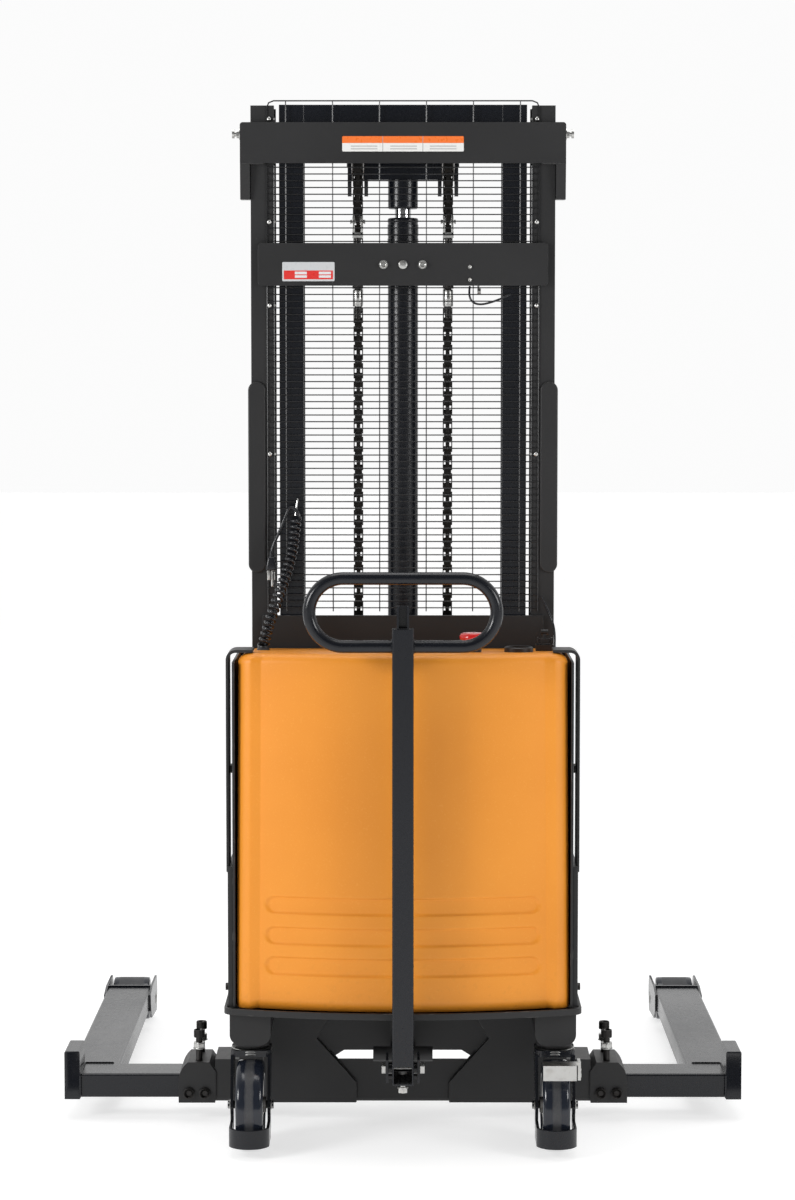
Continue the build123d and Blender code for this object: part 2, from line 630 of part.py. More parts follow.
# ---------------------------------------------------------------- outriggers and load wheels
for side, hand in ((-1, "left"), (1, "right")):
    with BuildPart() as outrigger:
        block((672, outrigger_end_x), (-480, -372), (44, 145))
        fillet(outrigger.edges().filter_by(Axis.Y).group_by(Axis.Z)[-1], 4)
        with BuildSketch(Plane.YZ.offset(125)):
            with Locations(((tube_y[0] + tube_y[1]) / 2, tube_mid_z)):
                RectangleRounded(100, 50, 5)
        extrude(amount=690 - 125)
        with BuildSketch(Plane.XZ.offset(400)):
            with Locations((leg_mid_x, tube_mid_z)):
                RectangleRounded(100, 50, 5)
        extrude(amount=-(leg_front + 400))
        block((124, 672), (tube_y[0] + 5, tube_y[1] - 5), (tube_z[0] + 5, tube_z[1] - 5), Mode.SUBTRACT)
        leg_bore = (leg_x[0] + 5, leg_x[1] - 5)
        block(leg_bore, (-382, leg_front - 8), (tube_z[0] + 5, tube_z[1] - 5), Mode.SUBTRACT)
        for x in (leg_x[0] - 5, leg_x[1]):
            with BuildSketch(Plane.YZ.offset(x)):
                with BuildLine():
                    Polyline(
                        (leg_front - 60, 90),
                        (leg_front - 60, 52),
                        (leg_front - 20, 28),
                        (load_wheel_y + 14, 18),
                    )
                    ThreePointArc(
                        (load_wheel_y + 14, 18), (load_wheel_y + 36, 58), (load_wheel_y + 20, 101)
                    )
                    Polyline((load_wheel_y + 20, 101), (leg_front - 5, 101), (leg_front - 60, 90))
                make_face()
            extrude(amount=5)
        block((leg_x[0] - 3, leg_x[1] + 3), (leg_front - 2, leg_front + 5), (tube_z[0] + 3, 101))
        round_x(load_axle_r, (leg_x[0] - 6.5, leg_x[1] + 6.5), load_wheel_y, load_wheel_r)
        if side < 0:
            mirror(about=Plane.YZ, mode=Mode.REPLACE)
    outrigger.part.label = f"outrigger_{hand}"
    export_step(outrigger.part, f"parts/outrigger_{hand}.step")

    with BuildPart() as load_wheel:
        round_x(load_wheel_r, load_wheel_x, load_wheel_y, load_wheel_r)
        fillet(load_wheel.edges(), 4)
        round_x(load_axle_r + pin_fit, leg_x, load_wheel_y, load_wheel_r, Mode.SUBTRACT)
        if side < 0:
            mirror(about=Plane.YZ, mode=Mode.REPLACE)
    load_wheel.part.label = f"load_wheel_{hand}"
    export_step(load_wheel.part, f"parts/load_wheel_{hand}.step")

# ---------------------------------------------------------------- swivel casters
wheel_y = caster_y - caster_trail
for side, hand in ((-1, "left"), (1, "right")):
    centre = side * caster_x
    with BuildPart() as caster_fork:
        block((centre - 40, centre + 40), (caster_y - 40, caster_y + 40), (186, 198.7))
        fillet(caster_fork.edges().filter_by(Axis.Z), 14)
        with BuildSketch(Plane.YZ.offset(centre - 40)):
            with BuildLine():
                Polyline((caster_y + 38, 190), (caster_y - 38, 190), (wheel_y - 22, wheel_r))
                ThreePointArc((wheel_y - 22, wheel_r), (wheel_y, wheel_r - 22), (wheel_y + 22, wheel_r))
                Line((wheel_y + 22, wheel_r), (caster_y + 38, 190))
            make_face()
        extrude(amount=80)
        block((centre - 34, centre + 34), (caster_y - 120, caster_y + 60), (40, 186), Mode.SUBTRACT)
        round_x(caster_axle_r, (centre - 46, centre + 46), wheel_y, wheel_r)
        with BuildSketch(Plane.XY.offset(23)):
            with BuildLine():
                Polyline((centre - 40, wheel_y), (centre - 40, wheel_y - 74))
                ThreePointArc(
                    (centre - 40, wheel_y - 74), (centre, wheel_y - 104), (centre + 40, wheel_y - 74)
                )
                Polyline((centre + 40, wheel_y - 74), (centre + 40, wheel_y), (centre + 34, wheel_y))
                Line((centre + 34, wheel_y), (centre + 34, wheel_y - 72))
                ThreePointArc(
                    (centre + 34, wheel_y - 72), (centre, wheel_y - 98), (centre - 34, wheel_y - 72)
                )
                Polyline((centre - 34, wheel_y - 72), (centre - 34, wheel_y), (centre - 40, wheel_y))
            make_face()
        extrude(amount=37)
        for x in (centre - 40, centre + 34):
            block((x, x + 6), (wheel_y - 14, wheel_y + 14), (40, wheel_r))
    caster_fork.part.label = f"caster_fork_{hand}"
    export_step(caster_fork.part, f"parts/caster_fork_{hand}.step")

    with BuildPart() as caster_wheel:
        round_x(wheel_r, (centre - wheel_half, centre + wheel_half), wheel_y, wheel_r)
        fillet(caster_wheel.edges(), 9)
        for x in (centre - wheel_half, centre + wheel_half):
            round_x(62, (x - 7, x + 7), wheel_y, wheel_r, Mode.SUBTRACT)
        round_x(24, (centre - 31, centre + 31), wheel_y, wheel_r)
        round_x(caster_axle_r + pin_fit, (centre - 40, centre + 40), wheel_y, wheel_r, Mode.SUBTRACT)
    caster_wheel.part.label = f"caster_wheel_{hand}"
    export_step(caster_wheel.part, f"parts/caster_wheel_{hand}.step")

pedal_hinge = (caster_x, wheel_y - 40, 163.0)
with BuildPart() as brake_pedal:
    block((caster_x - 28, caster_x + 38), (wheel_y - 98, wheel_y - 56), (184, 190))
    block((caster_x - 28, caster_x + 38), (wheel_y - 98, wheel_y - 92), (160, 190))
    block((caster_x - 28, caster_x + 48), (wheel_y - 66, wheel_y - 56), (184, 190))
    block((caster_x + 42, caster_x + 48), (wheel_y - 66, wheel_y - 28), (154, 190))
    round_x(9, (caster_x + 42, caster_x + 50), pedal_hinge[1], pedal_hinge[2])
brake_pedal.part.label = "brake_pedal"
export_step(brake_pedal.part, "parts/brake_pedal.step")

# ---------------------------------------------------------------- tiller
tongue_z = (147.0, 153.0)
with BuildPart() as tow_bracket:
    block((-25, 25), (-640, -486), tongue_z)
    block((-18, 18), (steer_y, -630), tongue_z)
    round_z(13.5, 0, steer_y, tongue_z)
    block((-25, 25), (-640, -630), (tongue_z[0], tray_z[0]))
    block((-25, 25), (-640, -486), (tongue_z[1], 158))
    for side in (-1, 1):
        round_x(15, sorted((side * 18, side * 60)), -660, 180)
    block((-20, 20), (-672, -630), (153, 190))
    round_z(6 + pin_fit, 0, steer_y, (140, 160), Mode.SUBTRACT)
tow_bracket.part.label = "tow_bracket"
export_step(tow_bracket.part, "parts/tow_bracket.step")

knuckle_z = (153.3, 159.0)
with BuildPart() as tiller_knuckle:
    block((-33.5, 33.5), (-769, -730), knuckle_z)
    for side in (-1, 1):
        ear_x = sorted((side * 28.5, side * 33.5))
        block(ear_x, (-808, -730), (157, 200))
        block(ear_x, (-808, -769), (153.3, 158))
        round_x(11, sorted((side * (tiller_half + 0.4), side * 29)), tilt_y, tilt_z)
    round_x(6.3, (-40, 40), tilt_y, tilt_z, Mode.SUBTRACT)
    round_z(6 + pin_fit, 0, steer_y, (150, 165), Mode.SUBTRACT)
tiller_knuckle.part.label = "tiller_knuckle"
export_step(tiller_knuckle.part, "parts/tiller_knuckle.step")

with BuildPart() as tilt_bolt:
    round_x(6.2, (-41, 41), tilt_y, tilt_z)
    hex_x(19, (-42, -34), tilt_y, tilt_z)
    hex_x(19, (34, 43), tilt_y, tilt_z)
tilt_bolt.part.label = "tilt_bolt"
export_step(tilt_bolt.part, "parts/tilt_bolt.step")

tiller_top = 1057.0
with BuildPart() as tiller_tube:
    block((-tiller_half, tiller_half), tiller_y, (160, tiller_top))
    block((-tiller_half, tiller_half), (tiller_y[0], -774), (160, 200))
    fillet(tiller_tube.edges().filter_by(Axis.Z).group_by(Axis.Y)[0], 4)
    block((-18, 18), (tiller_y[0] + 3, tiller_y[1] - 3), (203, tiller_top - 3), Mode.SUBTRACT)
    block((-18, 18), (tiller_y[0] - 1, -773), (163, 197), Mode.SUBTRACT)
    round_x(6.2 + pin_fit, (-30, 30), tilt_y, tilt_z, Mode.SUBTRACT)
    round_x(loop_r, (-30, 30), tiller_mid, loop_z - loop_bend, Mode.SUBTRACT)
    block((-12, 12), (-852, -826), (tiller_top - 1, 1102))
    block((-8, 8), (-853, -830), (tiller_top + 2, 1103), Mode.SUBTRACT)
tiller_tube.part.label = "tiller_tube"
export_step(tiller_tube.part, "parts/tiller_tube.step")

with BuildPart() as tiller_loop:
    with BuildLine(Plane.XZ.offset(-tiller_mid)):
        low = Line((-loop_straight, loop_z - loop_bend), (loop_straight, loop_z - loop_bend))
        right = RadiusArc(low @ 1, (loop_straight, loop_z + loop_bend), -loop_bend)
        high = Line(right @ 1, (-loop_straight, loop_z + loop_bend))
        RadiusArc(high @ 1, low @ 0, -loop_bend)
    with BuildSketch(Plane(origin=(0, tiller_mid, loop_z - loop_bend), z_dir=(1, 0, 0))):
        Circle(loop_r)
        Circle(loop_r - 3, mode=Mode.SUBTRACT)
    sweep()
tiller_loop.part.label = "tiller_loop"
export_step(tiller_loop.part, "parts/tiller_loop.step")

# ---------------------------------------------------------------- controls on the hood and the mast
stop_x, stop_y = 140.0, -662.0
lever_pivot = (286.0, -600.0, 1014.0)
cord_exit = (-284.0, -560.0, 1000.0)
base_foot = hood_top - hood_fall
with BuildPart() as panel_bases:
    round_z(17, stop_x, stop_y, (base_foot, 1011))
    round_z(29, 232, -655, (base_foot, 1006))
    block((268, 304), (-616, -584), (base_foot, 1006))
    for x in (270, 298):
        block((x, x + 4), (-608, -592), (1006, 1020))
        round_x(2.55, (x - 1, x + 5), lever_pivot[1], lever_pivot[2], Mode.SUBTRACT)
    round_z(10, cord_exit[0], cord_exit[1], (base_foot, cord_exit[2]))
    add(hood_form(0.0, hood_top, hood_front), mode=Mode.SUBTRACT)
    round_z(9.1, stop_x, stop_y, (base_foot, 1012), Mode.SUBTRACT)
panel_bases.part.label = "panel_bases"
export_step(panel_bases.part, "parts/panel_bases.step")

with BuildPart() as estop_button:
    round_z(9, stop_x, stop_y, (1008.4, 1023))
    round_z(27, stop_x, stop_y, (1021, 1035))
    fillet(estop_button.edges().filter_by(GeomType.CIRCLE).group_by(Axis.Z)[-1], 6)
estop_button.part.label = "estop_button"
export_step(estop_button.part, "parts/estop_button.step")

with BuildPart() as lift_lever:
    round_x(2.5, (270.5, 301.5), lever_pivot[1], lever_pivot[2])
    block((275, 297), (-606, -594), (1009, 1018))
    block((283, 289), (-603, -597), (1016, 1031))
    round_x(5, (279, 293), lever_pivot[1], 1031)
lift_lever.part.label = "lift_lever"
export_step(lift_lever.part, "parts/lift_lever.step")

switch_pivot = (155.0, -430.0, 1744.0)
with BuildPart() as limit_switch:
    block((122, 152), (beam_y[1], -424), (1738, 1775))
    round_x(3, (152, 162), switch_pivot[1], switch_pivot[2])
limit_switch.part.label = "limit_switch"
export_step(limit_switch.part, "parts/limit_switch.step")

with BuildPart() as limit_arm:
    round_x(6, (153, 160), switch_pivot[1], switch_pivot[2])
    block((153, 157), (switch_pivot[1] - 2, switch_pivot[1] + 2), (1722, 1742))
    round_x(7, (153, 160), switch_pivot[1], 1719)
    round_x(3 + pin_fit, (150, 164), switch_pivot[1], switch_pivot[2], Mode.SUBTRACT)
limit_arm.part.label = "limit_arm"
export_step(limit_arm.part, "parts/limit_arm.step")

cable_r = 2.2
loop_cable = [
    (137, -454, 1728.5),
    (133, -463, 1705),
    (152, -466, 1689),
    (190, -464, 1698),
    (220, -456, 1712),
]
drop_cable = [
    (286, -452, 1090),
    (300, -456, 1062),
    (311, -468, 1034),
    (313, -486, 1008),
    (311, -505, 986),
]
with BuildPart() as switch_cable:
    for route in (loop_cable, drop_cable):
        with BuildLine() as cable_line:
            FilletPolyline(*route, radius=bend_radii(route))
        start = Vector(*route[0])
        with BuildSketch(Plane(origin=start, z_dir=Vector(*route[1]) - start)):
            Circle(cable_r)
        sweep(path=cable_line.wires()[0])
switch_cable.part.label = "switch_cable"
export_step(switch_cable.part, "parts/switch_cable.step")

# ---------------------------------------------------------------- charger cord: a curly lead with its plug
coil_r = 12.5
tail_r = 3.0
coil_route = [
    cord_exit,
    (-269, -553, 1054),
    (-251, -530, 1106),
    (-234, -506, 1156),
    (-224, -486, 1206),
    (-220, -474, 1254),
]
tail_route = [
    (-220, -474, 1254),
    (-219, -473, 1272),
    (-232, -472, 1279),
    (-240, -472, 1262),
    (-248, -474, 1240),
    (-257, -476, 1219),
    (-265, -477, 1203),
    (-270, -477, 1187),
]
with BuildPart() as charger_cord_coil:
    with BuildLine() as coil_line:
        FilletPolyline(*coil_route, radius=bend_radii(coil_route))
    start = Vector(*coil_route[0])
    with BuildSketch(Plane(origin=start, z_dir=Vector(*coil_route[1]) - start)):
        Circle(coil_r)
    sweep(path=coil_line.wires()[0])
charger_cord_coil.part.label = "charger_cord_coil"
export_step(charger_cord_coil.part, "parts/charger_cord_coil.step")

with BuildPart() as charger_cord_tail:
    with BuildLine() as tail_line:
        FilletPolyline(*tail_route, radius=bend_radii(tail_route))
    start = Vector(*tail_route[0])
    with BuildSketch(Plane(origin=start, z_dir=Vector(*tail_route[1]) - start)):
        Circle(tail_r)
    sweep(path=tail_line.wires()[0])
charger_cord_tail.part.label = "charger_cord_tail"
export_step(charger_cord_tail.part, "parts/charger_cord_tail.step")
for name, line in (("coil", coil_line), ("tail", tail_line)):
    print(name, "length", round(line.wires()[0].length))

plug_x, plug_y, plug_top = tail_route[-1]
with BuildPart() as charger_plug:
    block((plug_x - 12, plug_x + 12), (plug_y - 9, plug_y + 9), (plug_top - 40, plug_top - 12))
    fillet(charger_plug.edges(), 4)
    round_z(6, plug_x, plug_y, (plug_top - 14, plug_top))
    block((plug_x - 9, plug_x - 2.6), (plug_y - 0.8, plug_y + 0.8), (plug_top - 60, plug_top - 38))
    block((plug_x + 5.6, plug_x + 7.2), (plug_y - 3.2, plug_y + 3.2), (plug_top - 60, plug_top - 38))
    round_z(2.4, plug_x + 1, plug_y + 5, (plug_top - 74, plug_top - 38))
charger_plug.part.label = "charger_plug"
export_step(charger_plug.part, "parts/charger_plug.step")
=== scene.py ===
"""Looks of a walk-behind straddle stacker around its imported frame.

Shapes are worked in millimetres and scaled to metres when a piece is finished.
+X is the operator's right, +Y runs to the fork tips, +Z is up.
"""

import json
from math import cos, pi, radians, sin

import bmesh
import bpy
from mathutils import Matrix, Vector


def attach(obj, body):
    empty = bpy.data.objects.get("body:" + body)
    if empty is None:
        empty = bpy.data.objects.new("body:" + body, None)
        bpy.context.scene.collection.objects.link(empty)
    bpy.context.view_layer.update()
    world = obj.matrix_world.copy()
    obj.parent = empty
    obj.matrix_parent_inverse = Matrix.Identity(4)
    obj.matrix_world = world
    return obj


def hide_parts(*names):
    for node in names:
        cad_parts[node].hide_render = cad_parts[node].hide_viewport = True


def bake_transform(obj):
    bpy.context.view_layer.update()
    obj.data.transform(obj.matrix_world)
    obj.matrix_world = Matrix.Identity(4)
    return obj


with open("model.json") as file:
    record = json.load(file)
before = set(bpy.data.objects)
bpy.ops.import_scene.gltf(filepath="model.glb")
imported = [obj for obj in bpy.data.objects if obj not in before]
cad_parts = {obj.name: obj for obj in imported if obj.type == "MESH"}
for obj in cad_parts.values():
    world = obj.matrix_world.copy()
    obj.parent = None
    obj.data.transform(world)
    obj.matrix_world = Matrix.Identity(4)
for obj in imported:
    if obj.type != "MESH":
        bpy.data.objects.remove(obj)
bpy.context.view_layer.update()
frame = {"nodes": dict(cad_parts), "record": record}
nodes = frame["nodes"]
bodies = frame["record"]["behaviour"]["bodies"]
home = {node: body for body, members in bodies.items() for node in members}
scene = bpy.context.scene
scene.view_settings.view_transform = "Standard"

MM = 0.001
SIDES = (-1, 1)

# ---------------------------------------------------------------- camera
camera = bpy.data.objects.new("camera", bpy.data.cameras.new("camera"))
camera.data.lens = 96
camera.data.sensor_width = 36
camera.location = (0, -7.04, 1.589)
camera.rotation_euler = (pi / 2 - 0.0765, 0, 0.0017)
scene.collection.objects.link(camera)
scene.camera = camera


# ---------------------------------------------------------------- finishes
class Signal:
    """A socket of a finish that takes part in sums."""

    def __init__(self, finish, socket):
        self.finish, self.socket = finish, socket

    def sum(self, operation, first, second):
        return self.finish.node("Math", {"operation": operation}, {0: first, 1: second})

    def __add__(self, other):
        return self.sum("ADD", self, other)

    def __sub__(self, other):
        return self.sum("SUBTRACT", self, other)

    def __rsub__(self, other):
        return self.sum("SUBTRACT", other, self)

    def __mul__(self, other):
        return self.sum("MULTIPLY", self, other)

    def __pow__(self, other):
        return self.sum("POWER", self, other)

    def __gt__(self, other):
        return self.sum("GREATER_THAN", self, other)

    def __lt__(self, other):
        return self.sum("LESS_THAN", self, other)

    def __abs__(self):
        return self.finish.node("Math", {"operation": "ABSOLUTE"}, {0: self})

    __radd__ = __add__
    __rmul__ = __mul__


class Finish:
    """A material's node tree, with a shader whose constants are set on its own sockets."""

    def __init__(self, name, colour, rough, metallic=0.0, specular=0.5, coat=0.0, coat_rough=0.1):
        self.material = bpy.data.materials.new(name)
        self.material.use_nodes = True
        self.tree = self.material.node_tree
        self.tree.nodes.clear()
        self.colour = colour
        self.shader = self.tree.nodes.new("ShaderNodeBsdfPrincipled")
        output = self.tree.nodes.new("ShaderNodeOutputMaterial")
        self.tree.links.new(self.shader.outputs[0], output.inputs["Surface"])
        for socket, value in {
            "Base Color": (*colour, 1),
            "Roughness": rough,
            "Metallic": metallic,
            "Specular IOR Level": specular,
            "Coat Weight": coat,
            "Coat Roughness": coat_rough,
        }.items():
            self.shader.inputs[socket].default_value = value
        self.where = self.node("TexCoord", output="Object")

    def node(self, kind, settings=None, inputs=None, output=0):
        """Adds a node: its settings first, then its sockets' values or links."""
        made = self.tree.nodes.new("ShaderNode" + kind)
        for name, value in (settings or {}).items():
            if name == "stops":
                ramp = made.color_ramp
                while len(ramp.elements) < len(value):
                    ramp.elements.new(0.5)
                for element, (place, tone) in zip(ramp.elements, value):
                    element.position, element.color = place, (*tone, 1)
            else:
                setattr(made, name, value)
        for name, value in (inputs or {}).items():
            if isinstance(value, Signal):
                self.tree.links.new(value.socket, made.inputs[name])
            else:
                made.inputs[name].default_value = value
        return Signal(self, made.outputs[output])

    def drive(self, socket, signal):
        self.tree.links.new(signal.socket, self.shader.inputs[socket])

    def noise(self, scale, detail=2.0, stretch=None, rough=0.5):
        """Noise from 0 to 1, scale in cells per metre, optionally stretched along an axis."""
        where = self.where
        if stretch:
            where = self.node("Mapping", None, {"Vector": where, "Scale": stretch}, "Vector")
        settings = {"Vector": where, "Scale": scale, "Detail": detail, "Roughness": rough}
        return self.node("TexNoise", None, settings, "Fac")

    def spread(self, signal, low, high, to_low=0.0, to_high=1.0):
        """Maps low..high to to_low..to_high, clamped."""
        limits = {"Value": signal, "From Min": low, "From Max": high, "To Min": to_low, "To Max": to_high}
        return self.node("MapRange", None, limits)

    def tint(self, share, first, second):
        """Colour between two, by share."""
        inputs = {"Factor": share, "A": first, "B": second}
        inputs = {k: (*v, 1) if isinstance(v, tuple) else v for k, v in inputs.items()}
        made = self.tree.nodes.new("ShaderNodeMix")
        made.data_type = "RGBA"
        places = {"Factor": 0, "A": 6, "B": 7}
        for name, value in inputs.items():
            if isinstance(value, Signal):
                self.tree.links.new(value.socket, made.inputs[places[name]])
            else:
                made.inputs[places[name]].default_value = value
        return Signal(self, made.outputs[2])

    def face(self, name):
        """A face attribute, such as the rim mask of a rounded edge."""
        return self.node("Attribute", {"attribute_name": name}, None, "Fac")

    def up(self):
        """How far the surface looks up, 0 to 1."""
        normal = self.node("NewGeometry", output="Normal")
        return self.spread(self.node("SeparateXYZ", None, {0: normal}, 2), 0.3, 1.0)

    def axes(self):
        return [self.node("SeparateXYZ", None, {0: self.where}, axis) for axis in range(3)]

    def bump(self, height, distance, strength=1.0, below=None):
        inputs = {"Height": height, "Distance": distance, "Strength": strength}
        if below:
            inputs["Normal"] = below
        return self.node("Bump", None, inputs)


def painted(name, colour, rough, worn, peel=0.00003, specular=0.36, dust=0.10):
    """Powder coat: fine peel, slow cloudiness, dust on top faces and rubbed edges."""
    made = Finish(name, colour, rough, 0.0, specular)
    cloud = made.noise(2.6, 3)
    speck = made.noise(210, 2)
    grain = made.noise(620, 2)
    pale = tuple(c * 1.2 for c in colour)
    dark = tuple(c * 0.85 for c in colour)
    base = made.tint(made.spread(cloud, 0.3, 0.7), dark, pale)
    dusty = made.up() * made.spread(made.noise(34, 4), 0.35, 0.75) * dust
    base = made.tint(dusty, base, (0.33, 0.31, 0.28))
    rubbed = made.face("rim") * made.spread(made.noise(46, 5), 0.57, 0.66) * worn
    chips = made.spread(made.noise(130, 3), 0.80, 0.815) * (worn * 0.7)
    marked = made.node("Math", {"operation": "MAXIMUM"}, {0: rubbed, 1: chips})
    made.drive("Base Color", made.tint(marked, base, (0.22, 0.215, 0.21)))
    made.drive("Roughness", made.spread(speck + cloud, 0.6, 1.4, rough - 0.06, rough + 0.09) + marked * 0.12)
    height = grain + speck * 0.3 - marked
    made.drive("Normal", made.bump(height, peel, 0.8))
    return made.material


def bare_metal(name, colour, rough, stretch=None, stain=(0.16, 0.12, 0.08), stained=0.25, bumpy=0.00003):
    """Plated or ground steel: brushed grain, cloudy roughness, thin stains and cloudy darker patches."""
    made = Finish(name, colour, rough, 1.0)
    fine = made.noise(900, 2, stretch)
    cloud = made.noise(38, 4)
    dirt = made.spread(made.noise(75, 5), 0.54, 0.74) * stained
    shade = made.tint(made.spread(cloud, 0.25, 0.75), tuple(c * 0.82 for c in colour), colour)
    made.drive("Base Color", made.tint(dirt, shade, stain))
    sheen = made.spread(cloud + fine * 0.5, 0.4, 1.2, rough - 0.07, rough + 0.12)
    made.drive("Roughness", sheen + dirt * 0.3)
    made.drive("Normal", made.bump(fine + cloud * 0.4, bumpy, 0.7))
    return made.material


def moulded(name, colour, rough, grain_scale, grain_depth, specular=0.5, coat=0.0, dust=0.08):
    """Moulded plastic or rubber: fine grain, slight colour cloud and dust where it looks up."""
    made = Finish(name, colour, rough, 0.0, specular, coat, 0.2)
    grain = made.noise(grain_scale, 3)
    cloud = made.noise(5, 3)
    dull, bright = tuple(c * 0.9 for c in colour), tuple(min(1, c * 1.08) for c in colour)
    base = made.tint(made.spread(cloud, 0.3, 0.7), dull, bright)
    dusty = made.up() * made.spread(made.noise(60, 4), 0.4, 0.8) * dust
    made.drive("Base Color", made.tint(dusty, base, (0.45, 0.42, 0.38)))
    made.drive("Roughness", made.spread(grain + cloud, 0.6, 1.4, rough - 0.05, rough + 0.08))
    made.drive("Normal", made.bump(grain, grain_depth, 0.9))
    return made.material


def hood_skin():
    """Grained orange plastic: pebbled skin, sparse bright flecks, scuffs near the foot."""
    colour = (0.80, 0.285, 0.022)
    made = Finish("hood_skin", colour, 0.42, 0.0, 0.45)
    pebble = made.node("TexVoronoi", {"feature": "SMOOTH_F1"}, {"Vector": made.where, "Scale": 330}, "Distance")
    grain = made.noise(520, 3)
    cloud = made.noise(3.1, 3)
    fleck = made.spread(made.noise(260, 2), 0.60, 0.72)
    base = made.tint(made.spread(cloud, 0.3, 0.7), (0.76, 0.262, 0.018), (0.84, 0.305, 0.026))
    base = made.tint(fleck * 0.20, base, (0.90, 0.42, 0.08))
    height = made.axes()[2]
    low = made.spread(height, 0.30, 0.46, 1.0, 0.0)
    scuff = low * made.spread(made.noise(85, 5), 0.57, 0.68)
    made.drive("Base Color", made.tint(scuff * 0.10, base, (0.36, 0.15, 0.03)))
    made.drive("Roughness", made.spread(pebble + grain * 0.6, 0.2, 1.0, 0.34, 0.50) + scuff * 0.1)
    made.drive("Normal", made.bump(pebble + grain * 0.5, 0.00022, 0.55))
    return made.material


def wheel_tread(name, centre, half):
    """Glossy dark polyurethane with a duller worn track round its middle."""
    made = Finish(name, (0.010, 0.013, 0.021), 0.16, 0.0, 0.5)
    across = abs(abs(made.axes()[0]) - centre)
    ragged = made.noise(110, 4, (1, 0.35, 0.35)) * 0.006
    track = made.spread(across + ragged, half, half + 0.005, 1.0, 0.0)
    scratch = made.spread(made.noise(260, 4, (6, 1, 1)), 0.5, 0.75)
    base = made.tint(track * (0.35 + scratch * 0.5), (0.010, 0.013, 0.021), (0.085, 0.083, 0.080))
    made.drive("Base Color", base)
    made.drive("Roughness", track * 0.34 + made.spread(made.noise(40, 3), 0.3, 0.7, 0.12, 0.22))
    made.drive("Normal", made.bump(made.noise(480, 3) + track * scratch, 0.00004, 0.7))
    return made.material


def printed(name, left, right, low, high, paint):
    """A printed sheet laid out in the plane of X and Z: paint gets the finish and u, v from 0 to 1."""
    made = Finish(name, (0.8, 0.8, 0.8), 0.3, 0.0, 0.5)
    x, _, z = made.axes()
    u = made.spread(x, left * MM, right * MM)
    v = made.spread(z, low * MM, high * MM)
    made.drive("Base Color", paint(made, u, v))
    made.drive("Roughness", made.spread(made.noise(120, 3), 0.3, 0.7, 0.24, 0.38))
    made.drive("Normal", made.bump(made.noise(300, 2), 0.00002, 0.6))
    return made.material


def within(value, low, high):
    return (value > low) * (value < high)


def strip_print(made, u, v):
    """Three plain fields: a coloured head band over pale fields with short grey rules."""
    base = made.tint(v > 0.55, (0.74, 0.74, 0.72), (0.80, 0.17, 0.03))
    rules = within(v, 0.30, 0.39) + within(v, 0.13, 0.22)
    fields = sum((within(u, third + 0.05, third + 0.27) for third in (0.02, 0.345, 0.67)), start=0.0)
    base = made.tint(rules * fields * 0.6, base, (0.32, 0.32, 0.32))
    edge = (u > 0.33) * (u < 0.337) + (u > 0.66) * (u < 0.667)
    return made.tint(edge * 0.7, base, (0.30, 0.30, 0.30))


def plate_print(made, u, v):
    """Rating plate: bare metal with a red block that holds four blank fields."""
    block = within(u, 0.03, 0.97) * within(v, 0.10, 0.56)
    base = made.tint(block, (0.52, 0.53, 0.54), (0.62, 0.03, 0.025))
    fields = (within(u, 0.24, 0.47) + within(u, 0.70, 0.93)) * (within(v, 0.36, 0.50) + within(v, 0.18, 0.31))
    return made.tint(fields, base, (0.66, 0.66, 0.67))


CHARCOAL = (0.0170, 0.0170, 0.0176)
NAVY = (0.0034, 0.0044, 0.0074)
finishes = {
    "frame_paint": painted("frame_paint", CHARCOAL, 0.46, 0.30),
    "mast_paint": painted("mast_paint", CHARCOAL, 0.44, 0.22),
    "navy_paint": painted("navy_paint", NAVY, 0.24, 0.16, 0.000006, 0.4, 0.06),
    "fork_paint": painted("fork_paint", (0.011, 0.012, 0.015), 0.34, 0.75),
    "hood_plastic": hood_skin(),
    "black_oxide": bare_metal("black_oxide", (0.045, 0.043, 0.042), 0.38, None, (0.03, 0.025, 0.02), 0.4),
    "zinc": bare_metal("zinc", (0.56, 0.56, 0.545), 0.30),
    "chrome_rod": bare_metal("chrome_rod", (0.66, 0.67, 0.68), 0.12, (1, 1, 0.05), (0.25, 0.22, 0.18), 0.12),
    "roller_steel": bare_metal("roller_steel", (0.34, 0.33, 0.32), 0.34, (0.1, 1, 1), (0.07, 0.055, 0.04), 0.5),
    "chain_steel": bare_metal("chain_steel", (0.034, 0.032, 0.030), 0.36, None, (0.022, 0.018, 0.014), 0.6),
    "mesh_wire": moulded("mesh_wire", (0.010, 0.010, 0.011), 0.34, 700, 0.00003),
    "wheel_polyurethane": wheel_tread("wheel_polyurethane", 0.305, 0.0085),
    "battery_case": moulded("battery_case", (0.025, 0.025, 0.028), 0.5, 420, 0.0001),
    "aluminium_case": bare_metal("aluminium_case", (0.55, 0.56, 0.57), 0.36, (0.1, 1, 1)),
    "control_plastic": moulded("control_plastic", (0.013, 0.013, 0.014), 0.36, 600, 0.00005),
    "red_plastic": moulded("red_plastic", (0.60, 0.012, 0.010), 0.2, 240, 0.00002, 0.5, 0.5, 0.03),
    "cord_rubber": moulded("cord_rubber", (0.009, 0.010, 0.013), 0.26, 500, 0.00003, 0.5, 0.0, 0.04),
}
load_tread = wheel_tread("load_tread", 0.649, 0.030)
strip_finish = printed("strip_print", -124, 124, 2002.5, 2033.5, strip_print)
plate_finish = printed("plate_print", -247, -140, 1739, 1778, plate_print)


